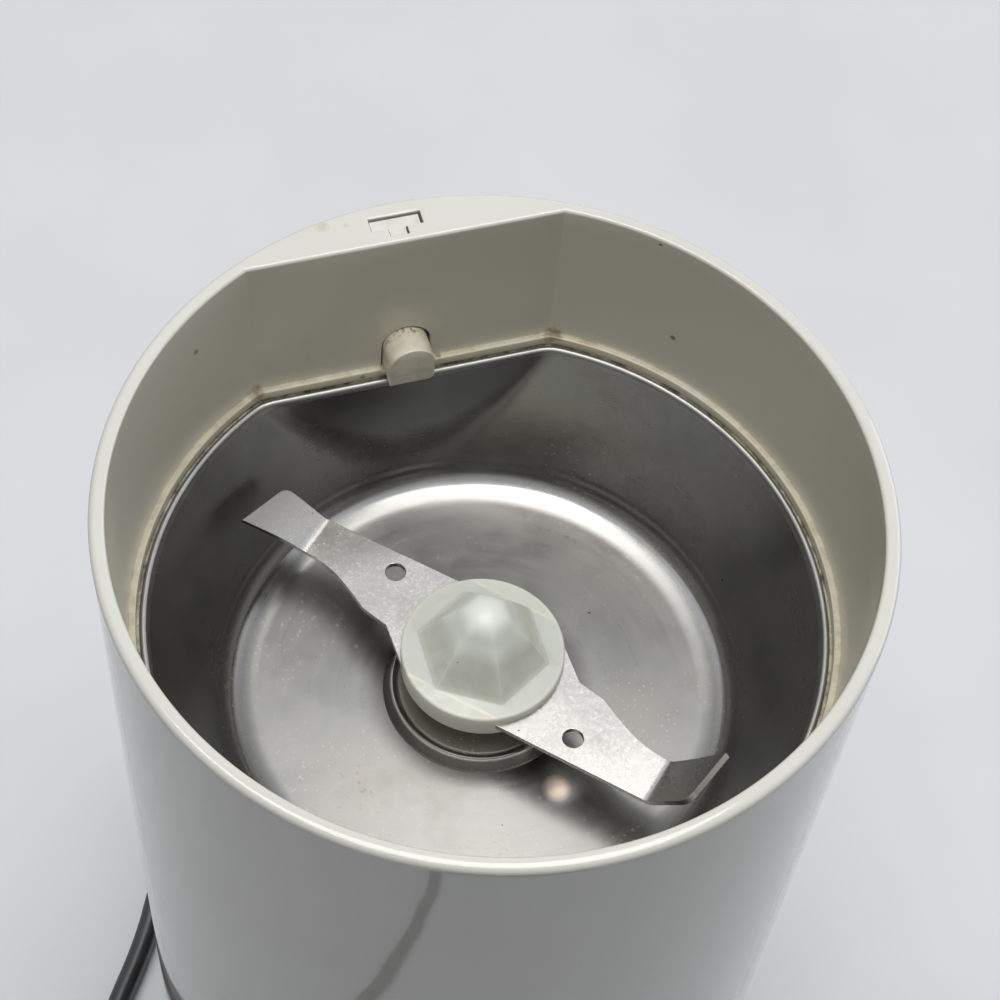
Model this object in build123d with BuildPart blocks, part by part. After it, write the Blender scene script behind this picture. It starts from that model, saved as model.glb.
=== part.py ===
"""Electric spice grinder: a vertical blade grinder with a D-shaped bowl.

Millimetres, +Z up. The origin is on the table under the middle of the round housing. The flat
side of the mouth, with the switch behind it, faces +Y.
"""

import os
from math import atan2, cos, degrees, pi, radians, sin, tan

from build123d import *

os.makedirs("parts", exist_ok=True)


def save(part, name):
    """Label a finished piece and write its STEP file."""
    part.label = name
    export_step(part, f"parts/{name}.step")


# ---------------------------------------------------------------- driving sizes
height = 155.0  # table to rim
rim_radius = 45.0  # outside of the rim
wall_draft = 1.0  # how much narrower the outside is at the foot
rim_wall = 1.85  # thickness of the rim band
wall = 2.3  # wall below the ledge
rim_round = 0.75  # rounding of the rim's edges
foot_height = 2.5  # the housing's lower edge above the table

ledge_depth = 22.4  # rim to ledge
socket_draft = 0.95  # how much the mouth narrows from rim to ledge
segment_depth = 4.75  # rim's inside to the flat chord wall, at the middle
chord_draft = 0.8  # how much the chord wall leans in from rim to ledge
ledge_width = 0.85
lip_depth = 1.7  # ledge to the shelf that carries the bowl
shelf_thickness = 1.6
shelf_width = 0.55  # shelf under the bowl's hem

segment_wall = 2.25  # outer wall beside the switch channel
chord_wall = 1.0  # chord wall in front of the switch channel
plate_thickness = 1.8  # plate over the switch channel

sheet = 0.6  # bowl sheet
hem_width = 0.9  # rolled edge of the bowl
hem_height = 0.75
bowl_gap = 0.35  # bowl hem to lip
floor_depth = 44.0  # rim to the lowest ring of the bowl floor
knee_radius = 32.5  # where the side meets the bottom curve
knee_height = 4.6  # above the floor
floor_radius = 26.5  # outer edge of the flat floor
boss_radius = 11.2  # raised centre of the bowl
boss_foot_radius = 15.0
boss_height = 4.8  # above the floor
boss_bore = 10.3
facet_lean = 1.6  # how far the bowl's flat side leans in on its way down
facet_drop = 12.9  # over this height

blade_depth = 33.8  # rim to the blade's upper face
blade_thickness = 0.8
hub_radius = 10.05
hub_over_blade = 1.4  # hub disc above the blade
hub_under_blade = 1.4
hex_radius = 8.1

shaft_radius = 3.0
fit = 0.02  # pressed or glued parts of one body
running = 0.05  # shaft in a bearing
gap = 0.3  # parts that only pass each other

slot_width = 6.45
slot_depth = 1.9
slot_stem_width = 2.35
slot_stem_depth = 1.25
slot_offset = -0.6  # slot's middle from the middle of the plate

button_width = 5.8
button_height = 6.3
button_stand = 3.7  # how far it stands out of the chord wall
button_offset = 0.0
plunger_travel = 3.0

# ---------------------------------------------------------------- levels and radii
ledge_z = height - ledge_depth
shelf_z = ledge_z - lip_depth
shelf_under_z = shelf_z - shelf_thickness
mouth_radius = rim_radius - rim_wall
ledge_radius = mouth_radius - socket_draft
chord_y = mouth_radius - segment_depth
chord_low_y = chord_y - chord_draft
lip_radius = ledge_radius - ledge_width
lip_y = chord_low_y - ledge_width
hem_radius = lip_radius - bowl_gap
hem_y = lip_y - bowl_gap
channel_y = chord_y + chord_wall
channel_radius = rim_radius - segment_wall
floor_z = height - floor_depth
blade_z = height - blade_depth
hub_top_z = blade_z + hub_over_blade
hub_low_z = blade_z - blade_thickness - hub_under_blade
boss_z = floor_z + boss_height


def outer_radius(z):
    """Radius of the housing's outside at a height."""
    return rim_radius - wall_draft * (height - z) / (height - foot_height)


inside_radius = rim_radius - wall_draft - wall


# ---------------------------------------------------------------- shared outlines
def d_outline(radius, flat_y, corner):
    """A circle cut off by a straight line at flat_y, with rounded corners."""
    with BuildSketch(mode=Mode.PRIVATE) as outline:
        Circle(radius)
        with Locations((0, flat_y + radius)):
            Rectangle(3 * radius, 2 * radius, mode=Mode.SUBTRACT)
        fillet(outline.vertices(), corner)
    return outline.sketch


def ring_sector(inner, outer, start, end):
    """A piece of a ring between two angles in degrees."""
    with BuildSketch(mode=Mode.PRIVATE) as sector:
        with BuildLine():
            far = CenterArc((0, 0), outer, start, end - start)
            near = CenterArc((0, 0), inner, start, end - start)
            Line(far @ 0, near @ 0)
            Line(far @ 1, near @ 1)
        make_face()
    return sector.sketch


def tube(inner, outer, low, high, centre=(0, 0)):
    """A plain upright ring."""
    with BuildPart(mode=Mode.PRIVATE) as ring:
        with BuildSketch(Plane.XY.offset(low)):
            with Locations(centre):
                Circle(outer)
                if inner > 0:
                    Circle(inner, mode=Mode.SUBTRACT)
        extrude(amount=high - low)
    return ring.part


def coil_spring(radius, wire, turns, low, high, centre):
    """A coil spring of square wire between two heights, eight straight runs to the turn."""
    rise = (high - low - wire) / (8 * turns)
    stations = []
    for step in range(8 * turns + 1):
        angle = 2 * pi * step / 8
        stations.append((radius * cos(angle), radius * sin(angle), step * rise))
    path = Polyline(*stations)
    with BuildPart(mode=Mode.PRIVATE) as spring:
        with BuildSketch(Plane(origin=path @ 0, z_dir=path % 0)):
            Rectangle(wire, wire)
        sweep(path=path, transition=Transition.RIGHT)
    return Pos(centre[0], centre[1], low + wire / 2) * spring.part


# ---------------------------------------------------------------- housing
# Space above the ledge: a shallow cone with one flat side.
chord_plane = Plane(
    origin=(0, chord_low_y, ledge_z),
    x_dir=(1, 0, 0),
    z_dir=(0, ledge_depth, -chord_draft),
)
with BuildPart() as mouth_space:
    with BuildSketch(Plane.XZ):
        with BuildLine():
            Polyline(
                (0, ledge_z),
                (ledge_radius, ledge_z),
                (mouth_radius, height),
                (mouth_radius, height + wall),
                (0, height + wall),
                close=True,
            )
        make_face()
    revolve(axis=Axis.Z)
    split(bisect_by=chord_plane, keep=Keep.BOTTOM)

# Space below the shelf, open at the foot.
with BuildPart() as motor_space:
    with BuildSketch():
        Circle(inside_radius)
    extrude(amount=shelf_under_z)

# Narrow channel behind the chord wall, where the switch plunger slides.
channel_top_z = height - plate_thickness
channel_low_z = shelf_under_z - 19.0
with BuildPart() as channel_space:
    with BuildSketch(Plane.XY.offset(channel_low_z)):
        Circle(channel_radius)
        with Locations((0, channel_y - channel_radius)):
            Rectangle(3 * channel_radius, 2 * channel_radius, mode=Mode.SUBTRACT)
    extrude(amount=channel_top_z - channel_low_z)

slot_outer_y = channel_radius - 0.1
slot_step_y = slot_outer_y - slot_depth
button_low_z = ledge_z - 0.1
button_side = button_height - button_width / 2
button_clear = 0.4
window_drop = 0.3  # window's foot below the button's


def arch(width, side):
    """An upright arch standing on the x axis of the current sketch plane."""
    with BuildSketch(mode=Mode.PRIVATE) as shape:
        with Locations((0, side / 2)):
            Rectangle(width, side)
        with Locations((0, side)):
            Circle(width / 2)
    return shape.sketch


chord_face_y = chord_low_y + chord_draft * (button_height / 2) / ledge_depth
button_plane = Plane(origin=(button_offset, chord_face_y, button_low_z), x_dir=(1, 0, 0), z_dir=(0, -1, 0))
window_plane = Plane(
    origin=(button_offset, chord_face_y, button_low_z - window_drop),
    x_dir=(1, 0, 0),
    z_dir=(0, -1, 0),
)

# Where the cord comes out, near the table at the back.
cord_width = 5.3
exit_angle = 80.0
exit_z = 11.0
boot_neck = 4.3
exit_plane = Plane(
    origin=(0, 0, exit_z),
    x_dir=(-sin(radians(exit_angle)), cos(radians(exit_angle)), 0),
    z_dir=(cos(radians(exit_angle)), sin(radians(exit_angle)), 0),
)

# Screw bosses: three under the bowl for the motor carrier, three at the foot for the base plate.
boss_outer = 3.4
pilot_radius = 1.25
carrier_boss_angles = (-30.0, 90.0 + 55.0, 90.0 - 55.0, -150.0)
base_boss_angles = (0.0, 180.0, 270.0)
carrier_thickness = 3.0
carrier_top_z = floor_z - sheet - 7.4
carrier_boss_length = 9.0
base_top_z = foot_height + 2.2
base_boss_length = 10.0


def boss_spot(angle, z, inset):
    """Centre of a screw boss near the housing's inside."""
    reach = inside_radius - inset
    return (reach * cos(radians(angle)), reach * sin(radians(angle)))


def boss_rail(angle, low, high, inset):
    """A screw boss with a web to the wall, standing between two heights."""
    x, y = boss_spot(angle, low, inset)
    with BuildPart(mode=Mode.PRIVATE) as rail:
        with BuildSketch(Plane.XY.offset(low)):
            with Locations((x, y)):
                Circle(boss_outer)
            with Locations(Location((0, 0, 0), (0, 0, angle))):
                reach = inside_radius + wall / 2
                start = inside_radius - inset
                with Locations(((start + reach) / 2, 0)):
                    Rectangle(reach - start, 2.0)
        extrude(amount=high - low)
        with BuildSketch(Plane.XY.offset(low)):
            with Locations((x, y)):
                Circle(pilot_radius)
        extrude(amount=0.8 * (high - low), mode=Mode.SUBTRACT)
    return rail.part


boss_inset = boss_outer + 0.8

with BuildPart() as housing:
    with BuildSketch(Plane.XZ):
        with BuildLine():
            Polyline(
                (0, foot_height),
                (outer_radius(foot_height), foot_height),
                (rim_radius, height),
                (0, height),
                close=True,
            )
        make_face()
    revolve(axis=Axis.Z)
    chamfer(housing.edges().filter_by(GeomType.CIRCLE).sort_by(Axis.Z)[-1], rim_round * 0.5)
    add(mouth_space.part, mode=Mode.SUBTRACT)
    with BuildSketch(Plane.XY.offset(shelf_z)):
        add(d_outline(lip_radius, lip_y, 0.8))
    extrude(amount=lip_depth, mode=Mode.SUBTRACT)
    with BuildSketch(Plane.XY.offset(shelf_under_z - wall)):
        add(d_outline(lip_radius - shelf_width, lip_y - shelf_width, 0.8))
    extrude(amount=shelf_thickness + wall, mode=Mode.SUBTRACT)
    add(motor_space.part, mode=Mode.SUBTRACT)
    add(channel_space.part, mode=Mode.SUBTRACT)
    # T-slot in the plate
    with BuildSketch(Plane.XY.offset(channel_top_z)):
        with Locations((slot_offset, slot_step_y + slot_depth / 2)):
            Rectangle(slot_width, slot_depth)
        with Locations((slot_offset, slot_step_y - slot_stem_depth / 2)):
            Rectangle(slot_stem_width, slot_stem_depth)
    extrude(amount=plate_thickness, mode=Mode.SUBTRACT)
    # arched window for the interlock button, through the wall and the ledge
    with BuildSketch(window_plane.offset(ledge_width + 1.0)):
        add(arch(button_width + 2 * button_clear, button_side + window_drop))
    extrude(amount=-(ledge_width + 1.0 + channel_y - chord_face_y), mode=Mode.SUBTRACT)
    # screw bosses
    for angle in carrier_boss_angles:
        add(boss_rail(angle, carrier_top_z, carrier_top_z + carrier_boss_length, boss_inset))
    for angle in base_boss_angles:
        add(boss_rail(angle, base_top_z, base_top_z + base_boss_length, boss_inset))
    # cord hole
    with BuildSketch(exit_plane.offset(inside_radius - wall)):
        Circle(boot_neck + fit)
    extrude(amount=3 * wall, mode=Mode.SUBTRACT)
save(housing.part, "housing")

# ---------------------------------------------------------------- bowl
wall_top_z = shelf_z + hem_height / 2
side_top_radius = hem_radius - hem_width
facet_y = hem_y - hem_width


def bowl_space(grow):
    """The room inside the bowl, grown by the sheet for its outside, with its flat side."""
    bottom_angle = atan2(side_top_radius - knee_radius, wall_top_z - floor_z - knee_height)
    facet_plane = Plane(
        origin=(0, facet_y + grow, shelf_z),
        x_dir=(1, 0, 0),
        z_dir=(0, facet_drop, -facet_lean),
    )
    with BuildPart(mode=Mode.PRIVATE) as space:
        with BuildSketch(Plane.XZ):
            with BuildLine():
                knee_out = knee_radius + grow * cos(bottom_angle)
                knee_z = floor_z + knee_height - grow * sin(bottom_angle)
                side = Line((side_top_radius + grow, wall_top_z), (knee_out, knee_z))
                bend = TangentArc(side @ 1, (floor_radius, floor_z - grow), tangent=side % 1)
                bottom = Line(bend @ 1, (boss_foot_radius, floor_z - grow))
                axis_foot = Line(bottom @ 1, (0, floor_z - grow))
                axis = Line(axis_foot @ 1, (0, wall_top_z))
                Line(axis @ 1, side @ 0)
            make_face()
        revolve(axis=Axis.Z)
        split(bisect_by=facet_plane, keep=Keep.BOTTOM)
    return space.part


def centre_boss(shrink):
    """The raised middle of the bowl floor as a solid bell, shrunk by the sheet for its underside."""
    top = boss_z - shrink
    foot = boss_foot_radius - shrink * 0.8
    with BuildPart(mode=Mode.PRIVATE) as bell:
        with BuildSketch(Plane.XZ):
            with BuildLine():
                low = floor_z - shrink - (sheet if shrink else 0.0)
                outline = Spline(
                    (foot, floor_z - shrink),
                    (boss_radius - shrink, top - 0.6),
                    (boss_radius - shrink - 0.6, top),
                    tangents=[(-1, 0), (-1, 0)],
                )
                Line(outline @ 1, (0, top))
                Line((0, top), (0, low))
                Line((0, low), (foot, low))
                if low < floor_z - shrink:
                    Line((foot, low), outline @ 0)
            make_face()
        revolve(axis=Axis.Z)
    return bell.part


with BuildPart() as bowl:
    add(bowl_space(sheet))
    add(bowl_space(0.0), mode=Mode.SUBTRACT)
    add(centre_boss(0.0))
    add(centre_boss(sheet), mode=Mode.SUBTRACT)
    with BuildSketch(Plane.XY.offset(shelf_z)):
        add(d_outline(hem_radius, hem_y, 2.5))
        add(d_outline(hem_radius - hem_width, hem_y - hem_width, 1.8), mode=Mode.SUBTRACT)
    extrude(amount=hem_height)
    with BuildSketch(Plane.XY.offset(floor_z - 2 * sheet)):
        Circle(boss_bore)
    extrude(amount=boss_height + 4 * sheet, mode=Mode.SUBTRACT)
save(bowl.part, "bowl")

# ---------------------------------------------------------------- blade
# One arm in the flat, pointing up and to the left; the other is the same turned half round.
blade_angle = 132.7  # arm's direction
hole_reach = 15.8
hole_radius = 1.3
bend_reach = 26.8
bend_angle = 43.6  # direction of the bend line
near_lift = 16.0  # how far the left arm's tip turns up
far_lift = 45.0  # how far the right arm's tip turns up
waist = 9.9
edge_start = (waist, 1.4)
tip_back = (-18.0, 29.0)
tip_front = (-24.6, 25.2)
near_edge = (-20.7, 22.5)
hollow = ((-17.3, 19.6), (-14.6, 15.7), (-12.5, 9.9))
shoulder = (-10.4, 6.9)


def rotated(point, turn):
    """A point turned about the origin by half a turn or not at all."""
    return point if turn == 0 else (-point[0], -point[1])


def blade_half(turn, lift):
    """One arm of the blade, its tip bent up by lift degrees."""
    p = [rotated(q, turn) for q in (edge_start, tip_back, tip_front, near_edge, *hollow, shoulder)]
    closing = rotated((-waist, -1.4), turn)
    with BuildSketch(mode=Mode.PRIVATE) as flat:
        with BuildLine():
            Line(p[0], p[1])
            Line(p[1], p[2])
            Line(p[2], p[3])
            Spline(p[3], p[4], p[5], p[6])
            Line(p[6], p[7])
            Line(p[7], closing)
            Line(closing, p[0])
        make_face()
        fillet(flat.vertices().sort_by_distance(p[1])[0], 1.4)
        hole_turn = radians(blade_angle - 15.3)
        with Locations(rotated((hole_reach * cos(hole_turn), hole_reach * sin(hole_turn)), turn)):
            Circle(hole_radius, mode=Mode.SUBTRACT)
    hinge = rotated((bend_reach * cos(radians(blade_angle)), bend_reach * sin(radians(blade_angle))), turn)
    line = (cos(radians(bend_angle)), sin(radians(bend_angle)), 0)
    outward = (-line[1], line[0], 0) if turn == 0 else (line[1], -line[0], 0)
    cut = Plane(origin=(hinge[0], hinge[1], 0), x_dir=(0, 0, 1), z_dir=outward)
    slab = extrude(flat.sketch, amount=-blade_thickness)
    root = split(slab, bisect_by=cut, keep=Keep.BOTTOM)
    tip = split(slab, bisect_by=cut, keep=Keep.TOP)
    axis_dir = (-outward[1], outward[0], 0)
    pivot = Axis((hinge[0], hinge[1], -blade_thickness), axis_dir)
    tip = tip.rotate(pivot, -lift)
    return root, tip


near_root, near_tip = blade_half(0, near_lift)
far_root, far_tip = blade_half(1, far_lift)
with BuildPart() as blade:
    with Locations((0, 0, blade_z)):
        add((near_root, near_tip, far_root, far_tip))
    with BuildSketch(Plane.XY.offset(blade_z)):
        Circle(shaft_radius + fit)
    extrude(amount=-blade_thickness, mode=Mode.SUBTRACT)
save(blade.part, "blade")

# ---------------------------------------------------------------- hub
dome_side_height = 6.2
dome_side_radius = 4.6
dome_foot_radius = 8.2
hex_top_height = 9.2
hex_top_radius = 3.53
hub_skirt_radius = 5.5
hub_skirt = 2.5  # below the disc
shaft_into_dome = 5.0

dome_lean = atan2(dome_side_height, dome_side_radius - dome_foot_radius)
with BuildPart() as dome_envelope:
    with BuildSketch(Plane.XZ.offset(0)):
        with BuildLine():
            side = Line((dome_foot_radius, hub_top_z), (dome_side_radius, hub_top_z + dome_side_height))
            crown = JernArc(side @ 1, side % 1, dome_side_radius / sin(dome_lean), 180 - degrees(dome_lean))
            Line(crown @ 1, (0, hub_top_z))
            Line((0, hub_top_z), side @ 0)
        make_face()
    revolve(axis=Axis.Z)

with BuildPart() as hub:
    with BuildSketch(Plane.XY.offset(hub_top_z)):
        RegularPolygon(hex_radius, 6, rotation=30)
    with BuildSketch(Plane.XY.offset(hub_top_z + hex_top_height)):
        RegularPolygon(hex_top_radius, 6, rotation=30)
    loft()
    add(dome_envelope.part, mode=Mode.INTERSECT)
    with BuildSketch(Plane.XY.offset(hub_low_z)):
        Circle(hub_radius)
    extrude(amount=hub_top_z - hub_low_z)
    rims = hub.edges().filter_by(GeomType.CIRCLE)
    chamfer(rims.filter_by_position(Axis.Z, hub_low_z - 0.1, hub_top_z + 0.1), 0.2)
    with BuildSketch(Plane.XY.offset(hub_low_z - hub_skirt)):
        Circle(hub_skirt_radius)
    extrude(amount=hub_skirt)
    with BuildSketch(Plane.XY.offset(hub_low_z - hub_skirt)):
        Circle(shaft_radius + fit)
    extrude(amount=hub_top_z - hub_low_z + hub_skirt + shaft_into_dome, mode=Mode.SUBTRACT)
    add(blade.part, mode=Mode.SUBTRACT)
save(hub.part, "hub")

# ---------------------------------------------------------------- levels of the motor, hung from the carrier
carrier_low_z = carrier_top_z - carrier_thickness
damper_height = 4.0
motor_top_z = carrier_low_z - damper_height
bracket_plate = 1.5
bracket_leg = 22.0  # motor top to the stator
stack = 24.0
shield_leg = 22.0
shield_plate = 3.0
stator_top_z = motor_top_z - bracket_leg
stator_low_z = stator_top_z - stack
shield_top_z = stator_low_z - shield_leg
shield_low_z = shield_top_z - shield_plate
bolt_reach = 26.5
bolt_radius = 1.9
bolt_clear = 0.15
bearing_radius = 5.5
bearing_length = 8.0
bearing_seat = 2.0  # ring of the bracket round the bearing
pole_bore = 17.2
air_gap = 0.6
armature_radius = pole_bore - air_gap
slot_outer = 24.0
coil_clear = 0.3
winding_rise = 5.5
end_rise = 6.0

# ---------------------------------------------------------------- shaft
shaft_low_z = shield_low_z - 5.5
with BuildPart() as shaft:
    with BuildSketch(Plane.XY.offset(shaft_low_z)):
        Circle(shaft_radius)
    extrude(amount=hub_top_z + shaft_into_dome - shaft_low_z)
    chamfer(shaft.edges().filter_by(GeomType.CIRCLE), 0.4)
save(shaft.part, "shaft")

# ---------------------------------------------------------------- seal and its cup in the raised centre
cup_rise = 0.3  # cup rim below the boss
cup_depth = 3.1
seal_radius = 6.5
cup_top_z = boss_z - cup_rise
cup_low_z = cup_top_z - cup_depth
with BuildPart() as seal_cup:
    with BuildSketch(Plane.XY.offset(cup_low_z)):
        Circle(boss_bore - fit)
    extrude(amount=cup_depth)
    with BuildSketch(Plane.XY.offset(cup_low_z + sheet)):
        Circle(boss_bore - fit - sheet)
    extrude(amount=cup_depth, mode=Mode.SUBTRACT)
    with BuildSketch(Plane.XY.offset(cup_low_z)):
        Circle(seal_radius - 1.2)
    extrude(amount=sheet, mode=Mode.SUBTRACT)
save(seal_cup.part, "seal_cup")

seal_top_z = hub_low_z - hub_skirt - 0.5
with BuildPart() as shaft_seal:
    with BuildSketch(Plane.XZ):
        with BuildLine():
            Polyline(
                (shaft_radius + running, cup_low_z - 1.2),
                (seal_radius - 1.2 - fit, cup_low_z - 1.2),
                (seal_radius - 1.2 - fit, cup_low_z + sheet),
                (seal_radius, cup_low_z + sheet),
                (seal_radius, cup_low_z + sheet + 1.0),
                (shaft_radius + 1.2, seal_top_z),
                (shaft_radius + running, seal_top_z),
                close=True,
            )
        make_face()
    revolve(axis=Axis.Z)
save(shaft_seal.part, "shaft_seal")

# ---------------------------------------------------------------- motor carrier
rod_radius = 1.3
rod_y = channel_y - 0.2
rod_x = slot_offset
bracket_screw_spots = ((-14.0, 25.5), (-2.0, 25.5))
bracket_pilot = 1.0
carrier_radius = inside_radius - 0.5
ring_inner = 18.0
ring_outer = 20.0
tube_outer = 8.0
with BuildPart() as motor_carrier:
    with BuildSketch(Plane.XY.offset(carrier_low_z)):
        Circle(carrier_radius)
    extrude(amount=carrier_thickness)
    with BuildSketch(Plane.XY.offset(carrier_top_z)):
        Circle(ring_outer)
        Circle(ring_inner, mode=Mode.SUBTRACT)
    extrude(amount=floor_z - sheet - carrier_top_z)
    with BuildSketch(Plane.XY.offset(carrier_top_z)):
        Circle(tube_outer)
    extrude(amount=cup_low_z - carrier_top_z)
    with BuildSketch(Plane.XY.offset(carrier_low_z)):
        Circle(seal_radius - 1.2 + gap)
        with Locations((-bolt_reach, 0), (bolt_reach, 0)):
            Circle(bolt_radius + fit)
        with Locations(*(boss_spot(angle, carrier_top_z, boss_inset) for angle in carrier_boss_angles)):
            Circle(1.7)
        with Locations((rod_x, rod_y)):
            Circle(rod_radius + gap)
        with PolarLocations(29.0, 4, start_angle=45):
            Circle(4.0)
    extrude(amount=cup_low_z - carrier_low_z + 1.0, mode=Mode.SUBTRACT)
    with BuildSketch(Plane.XY.offset(carrier_low_z)):
        with Locations(*bracket_screw_spots):
            Circle(bracket_pilot)
    extrude(amount=0.9 * carrier_thickness, mode=Mode.SUBTRACT)
save(motor_carrier.part, "motor_carrier")


def screws(spots, head_z, length, head_radius, body_radius):
    """Screws pointing up, as a group of separate solids with twelve-sided heads and shanks."""
    with BuildPart(mode=Mode.PRIVATE) as group:
        with BuildSketch(Plane.XY.offset(head_z - 1.8)):
            with Locations(*spots):
                RegularPolygon(head_radius, 12)
        extrude(amount=1.8)
        with BuildSketch(Plane.XY.offset(head_z)):
            with Locations(*spots):
                RegularPolygon(body_radius, 12)
        extrude(amount=length)
    return group.part


carrier_spots = [boss_spot(angle, carrier_top_z, boss_inset) for angle in carrier_boss_angles]
carrier_screws = screws(carrier_spots, carrier_low_z, carrier_thickness + 6.0, 2.8, pilot_radius - fit)
save(carrier_screws, "carrier_screws")

# ---------------------------------------------------------------- upper bracket, bearing and dampers
leg_width = 5.0
leg_depth = 10.0
with BuildPart() as upper_bracket:
    with BuildSketch(Plane.XY.offset(motor_top_z - bracket_plate)):
        Rectangle(2 * bolt_reach + leg_width, leg_depth)
        Circle(11.0)
    extrude(amount=bracket_plate)
    with BuildSketch(Plane.XY.offset(stator_top_z)):
        with Locations((-bolt_reach, 0), (bolt_reach, 0)):
            Rectangle(leg_width, leg_depth)
    extrude(amount=bracket_leg - bracket_plate)
    with BuildSketch(Plane.XY.offset(motor_top_z - bearing_length + 1.5)):
        Circle(bearing_radius + bearing_seat)
    extrude(amount=bearing_length - 1.5)
    with BuildSketch(Plane.XY.offset(stator_top_z)):
        Circle(bearing_radius + fit)
        with Locations((-bolt_reach, 0), (bolt_reach, 0)):
            Circle(bolt_radius + bolt_clear)
    extrude(amount=bracket_leg, mode=Mode.SUBTRACT)
save(upper_bracket.part, "upper_bracket")


def bearing(low, name):
    """A sintered bush for the shaft."""
    with BuildPart() as bush:
        with BuildSketch(Plane.XY.offset(low)):
            Circle(bearing_radius)
        extrude(amount=bearing_length)
        chamfer(bush.edges().filter_by(GeomType.CIRCLE), 0.5)
        with BuildSketch(Plane.XY.offset(low)):
            Circle(shaft_radius + running)
        extrude(amount=bearing_length, mode=Mode.SUBTRACT)
    save(bush.part, name)


bearing(motor_top_z - bearing_length + 1.5, "upper_bearing")
bearing(shield_low_z - 2.0, "lower_bearing")

with BuildPart() as motor_dampers:
    with BuildSketch(Plane.XY.offset(motor_top_z)):
        with Locations((-bolt_reach, 0), (bolt_reach, 0)):
            Circle(leg_depth / 2 + 0.5)
            Circle(bolt_radius + bolt_clear, mode=Mode.SUBTRACT)
    extrude(amount=damper_height)
save(motor_dampers.part, "motor_dampers")

# ---------------------------------------------------------------- stator and field coils
pole_start = 50.0
slot_start = 31.0
stator_half_x = 30.0
stator_half_y = 25.5
pole_sides = ((slot_start, pole_start), (180 - pole_start, 180 - slot_start))
field_slots = []
field_ends = []
for flip in (0, 180):
    for start, end in pole_sides:
        field_slots.append(ring_sector(pole_bore - 1.0, slot_outer, start + flip, end + flip))
    field_ends.append((slot_start + flip, 180 - slot_start + flip))

with BuildPart() as stator_core:
    with BuildSketch(Plane.XY.offset(stator_low_z)):
        RectangleRounded(2 * stator_half_x, 2 * stator_half_y, 7.0)
        Circle(pole_bore, mode=Mode.SUBTRACT)
        add(field_slots, mode=Mode.SUBTRACT)
        with Locations((-bolt_reach, 0), (bolt_reach, 0)):
            Circle(bolt_radius + bolt_clear, mode=Mode.SUBTRACT)
    extrude(amount=stack)
save(stator_core.part, "stator_core")

coil_inner = pole_bore + coil_clear
coil_outer = slot_outer - coil_clear
slot_margin = 1.0
coil_legs = []
coil_ends = []
for flip in (0, 180):
    first, last = slot_start + slot_margin + flip, 180 - slot_start - slot_margin + flip
    coil_ends.append(ring_sector(coil_inner, coil_outer, first, last))
    for start, end in pole_sides:
        first, last = start + slot_margin + flip, end - slot_margin + flip
        coil_legs.append(ring_sector(coil_inner, coil_outer, first, last))

with BuildPart() as field_coils:
    for low in (stator_low_z - end_rise, stator_top_z + coil_clear):
        with BuildSketch(Plane.XY.offset(low)):
            add(coil_ends)
        extrude(amount=end_rise - coil_clear)
    with BuildSketch(Plane.XY.offset(stator_low_z - coil_clear)):
        add(coil_legs)
    extrude(amount=stack + 2 * coil_clear)
save(field_coils.part, "field_coils")

# ---------------------------------------------------------------- armature, winding, commutator and fan
armature_slots = 12
slot_floor = 10.5
slot_tooth = 1.0
with BuildPart() as armature_core:
    with BuildSketch(Plane.XY.offset(stator_low_z)):
        Circle(armature_radius)
        Circle(shaft_radius + fit, mode=Mode.SUBTRACT)
        with PolarLocations((slot_floor + armature_radius - slot_tooth) / 2, armature_slots):
            Rectangle(armature_radius - slot_tooth - slot_floor, 3.2, mode=Mode.SUBTRACT)
        with PolarLocations(armature_radius, armature_slots):
            Rectangle(3 * slot_tooth, 1.2, mode=Mode.SUBTRACT)
    extrude(amount=stack)
save(armature_core.part, "armature_core")

winding_radius = armature_radius - 1.6
with BuildPart() as armature_winding:
    for low in (stator_low_z - winding_rise, stator_top_z + 0.1):
        with BuildSketch(Plane.XY.offset(low)):
            Circle(winding_radius)
            Circle(shaft_radius + 1.5, mode=Mode.SUBTRACT)
        extrude(amount=winding_rise - 0.1)
    rounds = armature_winding.edges().filter_by(GeomType.CIRCLE)
    chamfer(rounds.filter_by(lambda edge: edge.radius > slot_floor), 1.5)
    with BuildSketch(Plane.XY.offset(stator_low_z - 2.5)):
        with PolarLocations((slot_floor + armature_radius - slot_tooth) / 2, armature_slots):
            Rectangle(armature_radius - slot_tooth - slot_floor - 0.3, 2.8)
    extrude(amount=stack + 5.0)
save(armature_winding.part, "armature_winding")

commutator_radius = 9.0
commutator_length = 9.0
commutator_top_z = stator_low_z - winding_rise - 1.5
commutator_low_z = commutator_top_z - commutator_length
with BuildPart() as commutator:
    with BuildSketch(Plane.XY.offset(commutator_low_z)):
        Circle(commutator_radius)
    extrude(amount=commutator_length)
    with BuildSketch(Plane.XY.offset(commutator_top_z - 1.6)):
        Circle(commutator_radius + 1.4)
    extrude(amount=1.6)
    with BuildSketch(Plane.XY.offset(commutator_low_z)):
        Circle(shaft_radius + fit)
        with PolarLocations(commutator_radius, armature_slots, start_angle=15):
            Rectangle(3.4, 0.5)
    extrude(amount=commutator_length, mode=Mode.SUBTRACT)
save(commutator.part, "commutator")

fan_radius = 20.0
fan_blades = 9
fan_low_z = stator_top_z + end_rise + 2.5
fan_height = 6.0
with BuildPart() as fan:
    with BuildSketch(Plane.XY.offset(fan_low_z)):
        Circle(fan_radius)
    extrude(amount=1.0)
    with BuildSketch(Plane.XY.offset(fan_low_z)):
        Circle(6.0)
        with PolarLocations(13.2, fan_blades):
            Rectangle(13.4, 0.9)
    extrude(amount=fan_height)
    with BuildSketch(Plane.XY.offset(fan_low_z)):
        Circle(shaft_radius + fit)
    extrude(amount=fan_height, mode=Mode.SUBTRACT)
save(fan.part, "fan")

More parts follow.
